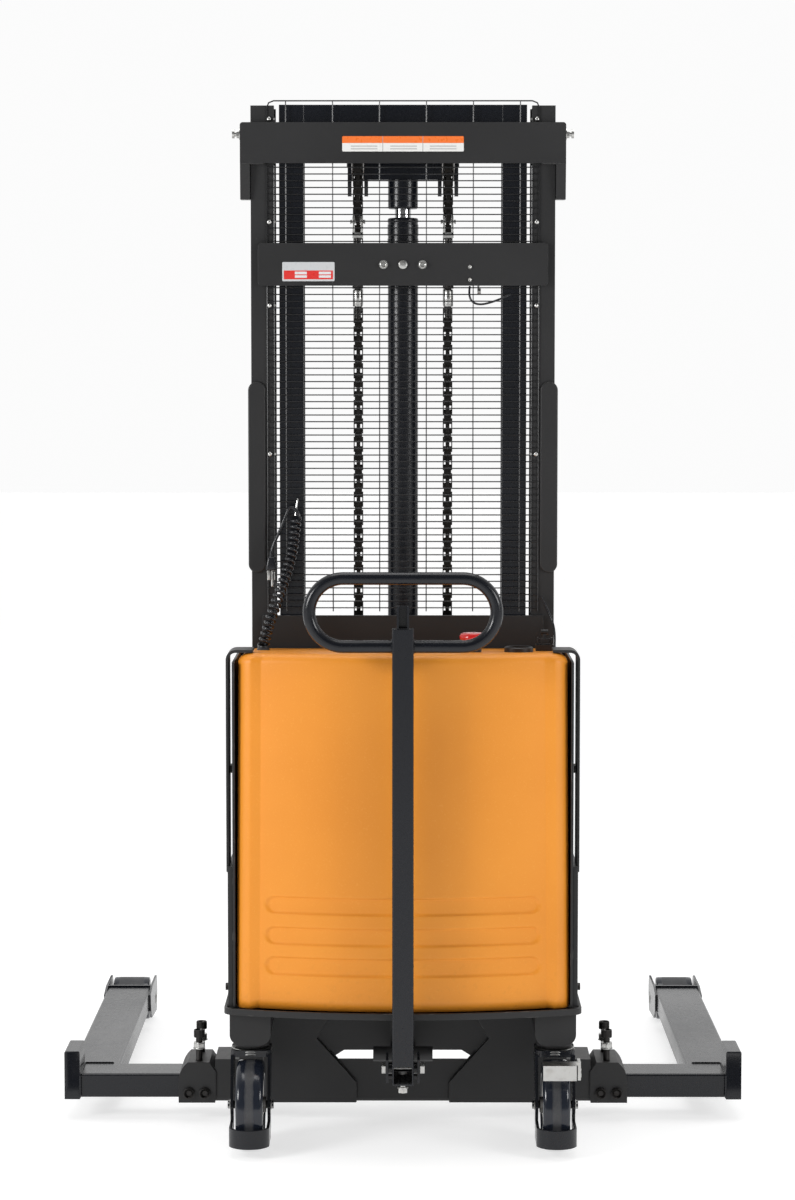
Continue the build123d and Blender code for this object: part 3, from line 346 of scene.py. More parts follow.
# ---------------------------------------------------------------- shop tools
def finish_piece(name, bm, slot, body, stands_for=(), finish=None, keep_sharp=32, weighted=False):
    """Turns a shape in millimetres into a piece in metres that rides on a body."""
    bmesh.ops.scale(bm, vec=(MM, MM, MM), verts=bm.verts)
    mesh = bpy.data.meshes.new(name)
    bm.to_mesh(mesh)
    bm.free()
    mesh.polygons.foreach_set("use_smooth", [True] * len(mesh.polygons))
    mesh.set_sharp_from_angle(angle=radians(keep_sharp))
    mesh.materials.append(finish or finishes[slot])
    piece = bpy.data.objects.new(name, mesh)
    scene.collection.objects.link(piece)
    if weighted:
        even = piece.modifiers.new("even_shading", "WEIGHTED_NORMAL")
        even.keep_sharp = True
    if body:
        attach(piece, body)
    if stands_for:
        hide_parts(*stands_for)
    return piece


def node_shape(*names):
    """Merged shape of CAD nodes, in millimetres, with flat faces joined up."""
    bm = bmesh.new()
    for name in names:
        bm.from_mesh(nodes[name].data)
    bmesh.ops.scale(bm, vec=(1 / MM,) * 3, verts=bm.verts)
    bmesh.ops.remove_doubles(bm, verts=bm.verts, dist=0.004)
    bmesh.ops.dissolve_limit(bm, angle_limit=radians(0.6), verts=bm.verts, edges=bm.edges)
    return bm


def round_edges(bm, width, segments=2, sharper=32, keep=None):
    """Bevels every edge sharper than an angle and marks the new faces as rim."""
    rim = bm.faces.layers.float.get("rim") or bm.faces.layers.float.new("rim")
    edges = [
        edge
        for edge in bm.edges
        if len(edge.link_faces) == 2
        and edge.calc_face_angle(0) > radians(sharper)
        and (keep is None or keep(edge))
    ]
    made = bmesh.ops.bevel(
        bm,
        geom=edges,
        offset=width,
        offset_type="OFFSET",
        affect="EDGES",
        segments=segments,
        profile=0.5,
        material=-1,
        clamp_overlap=True,
    )
    for face in made["faces"]:
        face[rim] = 1.0


def softened(node, width, slot, segments=2, also=(), finish=None, body=None):
    """A CAD node with its edges rounded as paint and grinding leave them."""
    bm = node_shape(node, *also)
    round_edges(bm, width, segments)
    return finish_piece(node + "_skin", bm, slot, body or home[node], (node, *also), finish, weighted=True)


def box(bm, xs, ys, zs):
    made = bmesh.ops.create_cube(bm, size=1)["verts"]
    size = [high - low for low, high in (xs, ys, zs)]
    middle = [(high + low) / 2 for low, high in (xs, ys, zs)]
    bmesh.ops.scale(bm, vec=size, verts=made)
    bmesh.ops.translate(bm, vec=middle, verts=made)
    return made


def rod(bm, start, end, radius, sides=24, far_radius=None):
    """Round bar between two points, tapered if it has a second radius."""
    start, end = Vector(start), Vector(end)
    along = end - start
    turn = along.to_track_quat("Z", "Y").to_matrix().to_4x4()
    place = Matrix.Translation((start + end) / 2) @ turn
    radius_end = radius if far_radius is None else far_radius
    made = bmesh.ops.create_cone(
        bm,
        cap_ends=True,
        segments=sides,
        radius1=radius,
        radius2=radius_end,
        depth=along.length,
        matrix=place,
    )
    return made["verts"]


def nut(bm, start, end, across):
    """Hexagon between two points."""
    rod(bm, start, end, across / 2 / cos(pi / 6), 6)


def turned(bm, profile, centre, axis, steps=48):
    """Shape turned about an axis through centre; profile is (radius, place along the axis) pairs."""
    axis = Vector(axis)
    side = axis.orthogonal().normalized()
    line = [bm.verts.new(Vector(centre) + side * radius + axis * along) for radius, along in profile]
    edges = [bm.edges.new(pair) for pair in zip(line, line[1:])]
    bmesh.ops.spin(
        bm, geom=line + edges, cent=centre, axis=axis, angle=2 * pi, steps=steps, use_merge=True
    )


def close_up(bm):
    """Merges doubles and turns every face outwards."""
    bmesh.ops.remove_doubles(bm, verts=bm.verts, dist=0.002)
    bmesh.ops.recalc_face_normals(bm, faces=bm.faces)


def curve(name, points, kind="NURBS", radius=0.0, ring=4):
    """A curve in metres through or near points in millimetres."""
    data = bpy.data.curves.new(name, "CURVE")
    data.dimensions = "3D"
    spline = data.splines.new(kind)
    spline.points.add(len(points) - 1)
    for spot, point in zip(spline.points, points):
        spot.co = (*(Vector(point) * MM), 1)
    if kind == "NURBS":
        spline.order_u = 3
        spline.use_endpoint_u = True
        spline.resolution_u = 12
    spline.use_smooth = True
    data.bevel_depth = radius * MM
    data.bevel_resolution = ring
    data.use_fill_caps = True
    made = bpy.data.objects.new(name, data)
    scene.collection.objects.link(made)
    return made


def bar(bm, points, radius, ring=2, swell=None, kind="POLY"):
    """Bent round bar along points, added to a shape; swell gives each point's share of the radius."""
    made = curve("bar", points, kind, radius, ring)
    if swell:
        for spot, share in zip(made.data.splines[0].points, swell):
            spot.radius = share
    mesh = bpy.data.meshes.new_from_object(made)
    mesh.transform(Matrix.Scale(1 / MM, 4))
    bm.from_mesh(mesh)
    bpy.data.objects.remove(made)
    bpy.data.meshes.remove(mesh)


def weld(bm, start, end, radius=3.0):
    """Rippled weld bead between two points."""
    start, end = Vector(start), Vector(end)
    count = max(4, int((end - start).length / 3.2))
    points = [start.lerp(end, step / count) for step in range(count + 1)]
    swell = [0.35] + [1.0 if step % 2 else 0.80 for step in range(count - 1)] + [0.35]
    bar(bm, points, radius, 1, swell)


def mirrored(bm):
    """Adds the other side of the machine."""
    other = bmesh.ops.duplicate(bm, geom=bm.verts[:] + bm.edges[:] + bm.faces[:])["geom"]
    verts = [part for part in other if isinstance(part, bmesh.types.BMVert)]
    faces = [part for part in other if isinstance(part, bmesh.types.BMFace)]
    bmesh.ops.scale(bm, vec=(-1, 1, 1), verts=verts)
    bmesh.ops.reverse_faces(bm, faces=faces)


# ---------------------------------------------------------------- charger cord
coil_route = [
    (-284, -560, 1000),
    (-269, -553, 1054),
    (-251, -530, 1106),
    (-234, -506, 1156),
    (-224, -486, 1206),
    (-220, -474, 1254),
]
tail_route = [
    (-220, -474, 1254),
    (-219, -473, 1272),
    (-232, -472, 1279),
    (-240, -472, 1262),
    (-248, -474, 1240),
    (-257, -476, 1219),
    (-265, -477, 1203),
    (-270, -477, 1187),
]
wire_r = 3.2
coil_r = 12.5
coil_pitch = 11.8
turn_points = 12


def curled(route):
    """Helix round a route's smooth line."""
    line = curve("coil_line", route)
    mesh = bpy.data.meshes.new_from_object(line)
    spine = [vertex.co / MM for vertex in mesh.vertices]
    bpy.data.objects.remove(line)
    bpy.data.meshes.remove(mesh)
    reach = [0.0]
    for before, after in zip(spine, spine[1:]):
        reach.append(reach[-1] + (after - before).length)
    turns = reach[-1] / coil_pitch
    count = int(turns * turn_points)
    points = []
    for step in range(count + 1):
        share = step / count
        along = share * reach[-1]
        place = next(i for i in range(1, len(reach)) if reach[i] >= along - 1e-9)
        part = (along - reach[place - 1]) / (reach[place] - reach[place - 1])
        ahead = (spine[place] - spine[place - 1]).normalized()
        across = ahead.cross(Vector((0, 1, 0))).normalized()
        other = across.cross(ahead)
        radius = coil_r - wire_r
        turn = 2 * pi * step / turn_points
        centre = spine[place - 1].lerp(spine[place], part)
        points.append(centre + across * radius * cos(turn) + other * radius * sin(turn))
    return points


def length_of(points):
    return sum((Vector(b) - Vector(a)).length for a, b in zip(points, points[1:]))


helix = curled(coil_route)
cord_start = helix[0] - Vector((0, 0, 10))
cord = curve("charger_cord", [cord_start, *helix, *tail_route[1:]], "NURBS", wire_r, 4)
cord.data.splines[0].resolution_u = 3
cord.data.materials.append(finishes["cord_rubber"])
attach(cord, "chassis")
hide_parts("charger_cord_coil", "charger_cord_tail")
print("helix length", round(length_of(helix)), "tail", round(length_of(tail_route)))


# ---------------------------------------------------------------- charger plug (its park hook is bent with the frame fasteners)
plug_x, plug_y, plug_top = tail_route[-1]
bm = bmesh.new()
body = box(bm, (plug_x - 12, plug_x + 12), (plug_y - 9, plug_y + 9), (plug_top - 40, plug_top - 12))
top_corners = [v for v in body if v.co.z > plug_top - 20]
bmesh.ops.scale(bm, vec=(0.62, 0.72, 1), space=Matrix.Translation((-plug_x, -plug_y, 0)), verts=top_corners)
round_edges(bm, 3.2, 3)
for step in range(4):
    radius = 5.6 - 0.45 * step
    low = plug_top - 13.2 + step * 3.3
    rod(bm, (plug_x, plug_y, low), (plug_x, plug_y, low + 2.3), radius, 16)
rod(bm, (plug_x, plug_y, plug_top - 14), (plug_x, plug_y, plug_top), 3.9, 16, 3.4)
for turn in range(5):
    at = plug_top - 36 + turn * 3.4
    for side in SIDES:
        box(bm, (plug_x + side * 11.6 - 0.8, plug_x + side * 11.6 + 0.8), (plug_y - 6, plug_y + 6), (at, at + 1.6))
plug = finish_piece("charger_plug_body", bm, "cord_rubber", "chassis", ("charger_plug",))

bm = bmesh.new()
box(bm, (plug_x - 9, plug_x - 2.6), (plug_y - 0.8, plug_y + 0.8), (plug_top - 60, plug_top - 38))
box(bm, (plug_x + 5.6, plug_x + 7.2), (plug_y - 3.2, plug_y + 3.2), (plug_top - 60, plug_top - 38))
round_edges(bm, 0.5, 2)
rod(bm, (plug_x + 1, plug_y + 5, plug_top - 38), (plug_x + 1, plug_y + 5, plug_top - 72), 2.4, 20)
rod(bm, (plug_x + 1, plug_y + 5, plug_top - 72), (plug_x + 1, plug_y + 5, plug_top - 74), 2.4, 20, 1.4)
blades = finish_piece("charger_plug_blades", bm, "zinc", "chassis")

tuple(cord_start * MM)

# ---------------------------------------------------------------- switch cables
loop_cable = [(137, -454, 1728.5), (133, -463, 1705), (152, -466, 1689), (190, -464, 1698), (220, -456, 1712)]
drop_cable = [(286, -452, 1090), (300, -456, 1062), (311, -468, 1034), (313, -486, 1008), (311, -505, 986)]
for name, route, length in (
    ("switch_cable_loop", loop_cable, 0.118),
    ("switch_cable_drop", drop_cable, 0.124),
):
    cable = curve(name, route, "NURBS", 2.2, 4)
    cable.data.materials.append(finishes["cord_rubber"])
    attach(cable, "chassis")
    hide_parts("switch_cable")

# ---------------------------------------------------------------- painted steelwork
softened("cross_member", 2.5, "frame_paint", 3)
softened("outrigger_clamps", 2.0, "frame_paint", 3)
softened("frame_side_plates", 1.2, "frame_paint")
softened("caster_arms", 1.5, "frame_paint")
softened("battery_tray", 1.2, "frame_paint")
softened("inner_panel", 0.8, "frame_paint")
softened("side_guards", 1.2, "frame_paint")
softened("outer_uprights", 2.2, "mast_paint", 3)
softened("top_beam", 1.6, "mast_paint", 3)
softened("mid_beam", 1.6, "mast_paint", 3)
softened("lower_beam", 1.2, "mast_paint")
softened("side_handles", 1.0, "mast_paint")
softened("inner_uprights", 2.0, "navy_paint", 3)
softened("inner_ties", 1.2, "navy_paint")
softened("crosshead", 1.6, "navy_paint", 3)
softened("carriage_frame", 1.5, "mast_paint")
softened("fork_left", 2.0, "fork_paint", 3)
softened("fork_right", 2.0, "fork_paint", 3)
softened("outrigger_left", 1.4, "navy_paint")
softened("outrigger_right", 1.4, "navy_paint")
softened("tow_bracket", 1.2, "frame_paint")
softened("tiller_knuckle", 1.2, "navy_paint")
softened("tiller_tube", 1.4, "navy_paint", 3)
softened("tiller_loop", 0.8, "navy_paint")
softened("caster_fork_left", 1.4, "navy_paint")
softened("caster_fork_right", 1.4, "navy_paint")
softened("limit_switch", 1.2, "control_plastic")
softened("limit_arm", 0.8, "zinc")
softened("chain_sheaves", 0.8, "roller_steel")
softened("outer_mast_rollers", 0.8, "roller_steel")
softened("inner_mast_rollers", 0.8, "roller_steel")
softened("carriage_rollers_lower", 0.8, "roller_steel")
softened("carriage_rollers_upper", 0.8, "roller_steel")
softened("tilt_bolt", 0.8, "zinc")
softened("cylinder_rod", 0.6, "chrome_rod")

# ---------------------------------------------------------------- nodes that stay as they are
for node, slot in {
    "battery": "battery_case",
    "charger": "aluminium_case",
    "power_unit": "control_plastic",
    "hydraulic_pipe": "zinc",
}.items():
    nodes[node].data.materials.clear()
    nodes[node].data.materials.append(finishes[slot])

# ---------------------------------------------------------------- hood
hood_foot, hood_top, hood_fall = 290.0, 1002.0, 17.0
hood_half, hood_rear, hood_edge, hood_front = 333.0, -781.0, -724.0, -462.0
corner_r, rim_r, lean = 34.0, 20.0, 0.00785
grooves = ((481, 517), (419, 456), (358, 396))
groove_half = 274.0
groove_deep = 4.2


def hood_outline():
    """Plan of the hood from its front left edge round the rear to its front right edge."""
    bow_r = (hood_half**2 + (hood_edge - hood_rear) ** 2) / (2 * (hood_edge - hood_rear))
    rear = [(x, hood_rear + bow_r - (bow_r**2 - x**2) ** 0.5) for x in range(-292, 293, 4)]
    edge_y = rear[0][1] + 27.0
    turn_c = (-(hood_half - corner_r), edge_y)
    corner = []
    for step in range(12):
        angle = radians(180 + 82 * step / 11)
        corner.append((turn_c[0] + corner_r * cos(angle), turn_c[1] + corner_r * sin(angle)))
    left = [(-hood_half, hood_front), (-hood_half, -520.0), (-hood_half, -600.0), *corner]
    right = [(-x, y) for x, y in reversed(left)]
    return left + rear[1:-1] + right


def groove_depth(x, z):
    """Depth of the pressed grooves at a spot of the rear face, with soft lips."""
    deep = 0.0
    for low, high in grooves:
        half = (high - low) / 2
        over = max(abs(x) - (groove_half - half), 0.0)
        inside = half - (over**2 + (z - (low + high) / 2) ** 2) ** 0.5
        share = min(max((inside + 0.5) / 4.5, 0.0), 1.0)
        deep = max(deep, groove_deep * share * share * (3 - 2 * share))
    return deep


bm = bmesh.new()
plan = hood_outline()
ring = [bm.verts.new((x, y, hood_foot)) for x, y in plan]
row = [bm.edges.new(pair) for pair in zip(ring, ring[1:])]
levels = [hood_foot + 20, 335, 352]
levels += [353.5 + 1.5 * step for step in range(113)]
levels += [540, 640, 760, 880, 920, 950, hood_top - rim_r]
levels += [hood_top - rim_r + rim_r * sin(radians(10 * step)) for step in range(1, 10)]
for level in levels:
    made = bmesh.ops.extrude_edge_only(bm, edges=row)["geom"]
    row = [part for part in made if isinstance(part, bmesh.types.BMEdge)]
    for vertex in (part for part in made if isinstance(part, bmesh.types.BMVert)):
        vertex.co.z = level
for vertex in bm.verts:
    x, y, z = vertex.co
    inset = lean * (z - hood_foot)
    if z > hood_top - rim_r:
        inset += rim_r - (rim_r**2 - (z - hood_top + rim_r) ** 2) ** 0.5
    fold = min(1.0, (y - hood_front) / (hood_rear - hood_front) * 3)
    vertex.co.x = x * (1 - inset / hood_half)
    vertex.co.y = y + inset * fold * (1 if y < hood_front - 1 else 0)
    if y < -735:
        vertex.co.y += groove_depth(x, z)
    lowered = min(max((z - 880) / (hood_top - rim_r - 880), 0.0), 1.0)
    vertex.co.z -= lowered * hood_fall * (vertex.co.y - hood_rear) / (hood_front - hood_rear)
bmesh.ops.contextual_create(bm, geom=row)
bmesh.ops.recalc_face_normals(bm, faces=bm.faces)
hood = finish_piece("hood_shell", bm, "hood_plastic", "chassis", ("hood",), keep_sharp=50)
wall = hood.modifiers.new("wall", "SOLIDIFY")
wall.thickness = 0.0045
wall.offset = -1

# ---------------------------------------------------------------- wire guard
wire_low, wire_high, wire_edge = 1060.0, 2106.2, 278.5
wire_pitch = 13.72
bm = bmesh.new()
rungs = [1820.5 + wire_pitch * step for step in range(12)] + [1726 - wire_pitch * step for step in range(49)]
for z in rungs:
    rod(bm, (-wire_edge, -445.7, z), (wire_edge, -445.7, z), 1.25, 6)
for x in (48, 144, 240):
    for side in SIDES:
        for low, high in ((wire_low, 1730.5), (1816.5, wire_high)):
            rod(bm, (side * x, -444.9, low), (side * x, -444.9, high), 1.4, 6)
for low, high in ((wire_low, 1730.5), (1816.5, wire_high)):
    for side in SIDES:
        rod(bm, (side * 264, -444.9, low), (side * 264, -444.9, min(high, 1975)), 1.4, 6)
frame_wire = [(-wire_edge, -445.2, 1817), (-wire_edge, -445.2, wire_high - 14)]
frame_wire += [(-wire_edge + 4, -445.2, wire_high - 4), (-wire_edge + 14, -445.2, wire_high)]
frame_wire += [(-x, y, z) for x, y, z in reversed(frame_wire)]
bar(bm, frame_wire, 1.5, 1)
for side in SIDES:
    rod(bm, (side * wire_edge, -445.2, wire_low), (side * wire_edge, -445.2, 1731), 1.5, 8)
finish_piece("mesh_wires", bm, "mesh_wire", "chassis", ("mesh_guard",))

# ---------------------------------------------------------------- hoist chains
sheave = Vector((0, -384, 1985))
chain_r = 35.0
near_y, far_y = sheave.y - chain_r, sheave.y + chain_r
chain_foot, anchor_pin = 302.0, 1864.0
chain_mid = 93.0
wrap = pi * chain_r
near_run = sheave.z - anchor_pin
far_run = sheave.z - chain_foot
link_count = 100
pitch = (near_run + wrap + far_run) / link_count


def on_chain(along):
    """Place on the chain's line in the plane of Y and Z."""
    if along < near_run:
        return Vector((0, near_y, anchor_pin + along))
    if along < near_run + wrap:
        turn = (along - near_run) / chain_r
        return sheave + Vector((0, -chain_r * cos(turn), chain_r * sin(turn)))
    return Vector((0, far_y, sheave.z - (along - near_run - wrap)))


def link(bm, first, second, outer):
    """One link between two pins: two wide cheeks, or two thick inner blocks, and the far pin."""
    along = second - first
    turn = Matrix.Rotation(-Vector((along.y, along.z)).angle_signed(Vector((0, 1))), 4, "X")
    place = Matrix.Translation((first + second) / 2) @ turn
    parts = ((-8.9, 2.1), (0, 8.0), (8.9, 2.1)) if outer else ((0, 15.4),)
    half = 6.7 if outer else 6.0
    for at, thick in parts:
        spin = Matrix.Rotation(pi / 2, 4, "Y")
        disc = bmesh.ops.create_cone(
            bm,
            cap_ends=True,
            segments=10,
            radius1=half,
            radius2=half,
            depth=thick,
            matrix=spin,
        )["verts"]
        for vertex in disc:
            vertex.co.z += pitch / 2 * (1 if vertex.co.z > 0.01 else -1 if vertex.co.z < -0.01 else 0)
            vertex.co.x += at
        bmesh.ops.transform(bm, matrix=place, verts=disc)
    rod(bm, second - Vector((9.9, 0, 0)), second + Vector((9.9, 0, 0)), 2.6, 8)


pins = [on_chain(pitch * step) for step in range(link_count + 1)]
runs = {"near": [], "wrap": [], "far": []}
for step in range(link_count):
    middle = (pins[step] + pins[step + 1]) / 2
    part = "wrap" if middle.z > sheave.z else "near" if middle.y < sheave.y else "far"
    runs[part].append(step)
for part, node, stayed, start, end in (
    ("near", "anchor_chains", "chassis", (0, -0.419, 1.874), (0, -0.419, 1.985)),
    ("wrap", "chain_wraps", None, None, None),
    ("far", "carriage_chains", "carriage", (0, -0.349, 0.31), (0, -0.349, 1.975)),
):
    bm = bmesh.new()
    for step in runs[part]:
        link(bm, pins[step], pins[step + 1], step % 2 == 0)
    first = bm.verts[:]
    bmesh.ops.translate(bm, vec=(chain_mid, 0, 0), verts=first)
    mirrored(bm)
    ride_on = home[node] if stayed is None else None
    chain = finish_piece("hoist_chain_" + part, bm, "chain_steel", ride_on, (node,))
    if stayed:
        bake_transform(chain)

# ---------------------------------------------------------------- chain anchors
bm = bmesh.new()
ax, ay = chain_mid, near_y
rod(bm, (ax, ay, 1664), (ax, ay, 1830), 6.6, 20)
for step in range(38):
    z = 1666 + step * 2.0
    rod(bm, (ax, ay, z), (ax, ay, z + 1.0), 7.3, 12, 6.6)
for low, high in ((1800.4, 1809.8), (1738.2, 1749.6), (1724.6, 1735.6)):
    nut(bm, (ax, ay, low), (ax, ay, high), 22)
for low, high in ((1797.6, 1800.2), (1735.8, 1738)):
    rod(bm, (ax, ay, low), (ax, ay, high), 12.4, 24)
mirrored(bm)
finish_piece("anchor_rods", bm, "black_oxide", "chassis", ("chain_anchors",))

bm = bmesh.new()
rod(bm, (ax, ay, 1688), (ax, ay, 1722), 10.4, 28)
rod(bm, (ax, ay, 1700), (ax, ay, 1710), 10.5, 28)
for side in SIDES:
    plate = box(bm, sorted((ax + side * 6.3, ax + side * 11)), (ay - 8.6, ay + 8.6), (1834, 1873))
box(bm, (ax - 11, ax + 11), (ay - 8.6, ay + 8.6), (1828, 1840))
rod(bm, (ax - 15.6, ay, 1862), (ax + 15.6, ay, 1862), 3.9, 16)
round_edges(bm, 0.7, 2)
for side in SIDES:
    bar(bm, [(ax + side * 14, ay - 5, 1862), (ax + side * 14, ay + 5, 1862)], 0.9, 1)
    bar(bm, [(ax + side * 14, ay - 5, 1862), (ax + side * 14.5, ay - 7.5, 1857)], 0.9, 1)
mirrored(bm)
finish_piece("anchor_clevises", bm, "zinc", "chassis")

# ---------------------------------------------------------------- lift cylinder
bm = bmesh.new()
cylinder = (0, -384, 0)
turned(
    bm,
    [
        (17.2, 1870.6), (28, 1870.6), (30.6, 1869.6), (31.8, 1867), (31.8, 1862),
        (31, 1861), (31, 1858), (32, 1857), (32, 1834),
        (31.2, 1833.2), (31.2, 1829), (32, 1828.2), (32, 1790), (31.4, 1789), (31.4, 176), (32, 175),
        (32, 131), (31, 130), (0.01, 130),
    ],
    cylinder, (0, 0, 1), 64,
)
close_up(bm)
finish_piece("cylinder_barrel_skin", bm, "navy_paint", "chassis", ("cylinder_barrel",), weighted=True)

# ---------------------------------------------------------------- bolts on the frame and mast
bm = bmesh.new()


def socket_screw(bm, at, aim, radius, head, washer=0.0, hole=0.0):
    """Cap screw that looks along aim, with its socket, on an optional washer."""
    at, aim = Vector(at), Vector(aim)
    if washer:
        rod(bm, at, at + aim * 1.6, washer, 28)
    base = at + aim * (1.6 if washer else 0)
    made = rod(bm, base, base + aim * head, radius, 28)
    cap = max({f for v in made for f in v.link_faces}, key=lambda f: f.calc_center_median().dot(aim))
    bmesh.ops.inset_region(bm, faces=[cap], thickness=radius * 0.12, depth=0)
    bmesh.ops.translate(bm, vec=aim * 0.5, verts=cap.verts)
    if hole:
        bmesh.ops.inset_region(bm, faces=[cap], thickness=radius * 0.88 - hole, depth=0)
        bmesh.ops.translate(bm, vec=-aim * (head * 0.6), verts=cap.verts)


for x in (-40, 40):
    socket_screw(bm, (x, -460, 1773), (0, -1, 0), 6.8, 6.4, 9, 3.6)
socket_screw(bm, (0, -460, 1773), (0, -1, 0), 8.6, 3.4, 9, 0)
rod(bm, (0, -464, 1773), (0, -467.6, 1773), 3.0, 16)
for z in (1768, 1742):
    socket_screw(bm, (137, -460, z), (0, -1, 0), 3.4, 2.0, 4, 1.2)
for side in SIDES:
    for z in (1385, 1690, 1860, 2069):
        y = -447 if z < 2000 else -446
        turned(bm, [(0.01, 3.0), (2.4, 2.7), (4.4, 1.4), (5, 0.2), (5, 0)], (side * 274, y, z), (0, -1, 0), 16)
        rod(bm, (side * 263, y + 1.5, z), (side * 263, y - 1.0, z), 2.4, 12)
    rod(bm, (side * 333, -430, 2040), (side * 335.4, -430, 2040), 12.6, 28)
    nut(bm, (side * 335.4, -430, 2040), (side * 341, -430, 2040), 15)
    rod(bm, (side * 341, -430, 2040), (side * 345.2, -430, 2040), 5.4, 20)
    rod(bm, (side * 345.2, -430, 2040), (side * 350, -430, 2040), 9.4, 28)
    rod(bm, (side * 349, -600, 552), (side * 350.2, -600, 552), 8.2, 24)
    nut(bm, (side * 350.2, -600, 552), (side * 354, -600, 552), 13)
nut(bm, (0, -755, 123), (0, -755, 131.5), 17)
rod(bm, (0, -755, 131.5), (0, -755, 134.5), 11, 28)
rod(bm, (0, -755, 134.5), (0, -755, 160), 6.5, 20)
nut(bm, (0, -755, 159.4), (0, -755, 168), 17)
bar(bm, [(-217, -446, 1293), (-217, -458, 1293), (-217.3, -462.5, 1289), (-221, -465, 1259)], 1.9, 2)
close_up(bm)
finish_piece("frame_fasteners", bm, "zinc", "chassis", ("frame_bolts",))

bm = bmesh.new()
for side in SIDES:
    rod(bm, (side * 349, -600, 306), (side * 350.6, -600, 306), 8.4, 24)
    nut(bm, (side * 350.6, -600, 306), (side * 361, -600, 306), 13)
    for y in (-468, -384):
        x = side * 424
        rod(bm, (x, y, 97.6), (x, y, 174), 6.7, 20)
        for step in range(11):
            rod(bm, (x, y, 126 + 2.2 * step), (x, y, 127.1 + 2.2 * step), 7.3, 12, 6.7)
        socket_screw(bm, (x, y, 173), (0, 0, 1), 10.8, 15.6, 0, 5.6)
        for ridge in range(30):
            turn = 2 * pi * ridge / 30
            rx, ry = x + 10.7 * cos(turn), y + 10.7 * sin(turn)
            rod(bm, (rx, ry, 174), (rx, ry, 187), 0.42, 5)
    for x in (411, 444):
        socket_screw(bm, (side * x, -490, 60), (0, -1, 0), 11.3, 8.4, 0, 5.4)
close_up(bm)
finish_piece("clamp_screw_heads", bm, "black_oxide", "chassis", ("clamp_screws",))
bm = bmesh.new()
for side in SIDES:
    for y in (-468, -384):
        nut(bm, (side * 424, y, 151.4), (side * 424, y, 162.8), 22)
        rod(bm, (side * 424, y, 149), (side * 424, y, 151.3), 12.6, 28)
round_edges(bm, 0.8, 2, 50)
finish_piece("clamp_lock_nuts", bm, "zinc", "chassis")

# ---------------------------------------------------------------- printed plates
for name, xs, zs, finish in (
    ("hazard_strip", (-124, 124), (2002.5, 2033.5), strip_finish),
    ("rating_plate", (-247, -140), (1739, 1778), plate_finish),
):
    bm = bmesh.new()
    box(bm, xs, (-460.7, -459.9), zs)
    uprights = [e for e in bm.edges if abs(e.verts[0].co.y - e.verts[1].co.y) > 0.5]
    bmesh.ops.bevel(bm, geom=uprights, offset=2.2, affect="EDGES", segments=4, profile=0.5, material=-1)
    finish_piece(name, bm, "zinc", "chassis", (), finish)

# ---------------------------------------------------------------- weld beads
bm = bmesh.new()
weld(bm, (671.5, -481, 97.5), (671.5, -375, 97.5), 3.2)
weld(bm, (671.5, -479, 47), (671.5, -479, 97), 3.2)
weld(bm, (672, -374, 97.4), (610, -374, 97.4), 3.0)
finish_piece("outrigger_welds_right", bm, "navy_paint", "outrigger_right")
bm = bmesh.new()
weld(bm, (-671.5, -481, 97.5), (-671.5, -375, 97.5), 3.2)
weld(bm, (-671.5, -479, 47), (-671.5, -479, 97), 3.2)
weld(bm, (-672, -374, 97.4), (-610, -374, 97.4), 3.0)
finish_piece("outrigger_welds_left", bm, "navy_paint", "outrigger_left")
bm = bmesh.new()
for side in SIDES:
    weld(bm, (side * 389.6, -487, 48), (side * 389.6, -487, 108), 3.0)
    weld(bm, (side * 389.6, -487, 110), (side * 389.6, -372, 118), 2.6)
    weld(bm, (side * 96, -487, 44), (side * 96, -487, 84), 2.6)
    weld(bm, (side * 96, -487, 84), (side * 150, -487, 148), 2.4)
    weld(bm, (side * 312, -442, 132), (side * 312, -340, 132), 2.6)
finish_piece("frame_welds", bm, "frame_paint", "chassis")
bm = bmesh.new()
for side in SIDES:
    weld(bm, (side * 284, -459.6, 1978), (side * 332, -459.6, 1978), 1.6)
    weld(bm, (side * 264, -444.2, 962), (side * 264, -444.2, 1052), 1.6)
    weld(bm, (side * 296, -450, 1733), (side * 296, -450, 1813), 2.2)
finish_piece("mast_welds", bm, "mast_paint", "chassis")
bm = bmesh.new()
for side in SIDES:
    ring_points = []
    for step in range(17):
        turn = 2 * pi * step / 16
        ring_points.append((side * 21.4, -838 + 12.9 * cos(turn), 1022.5 + 12.9 * sin(turn)))
    bar(bm, ring_points, 1.8, 1, [1.0 if i % 2 else 0.8 for i in range(17)])
finish_piece("tiller_welds", bm, "navy_paint", "tiller")

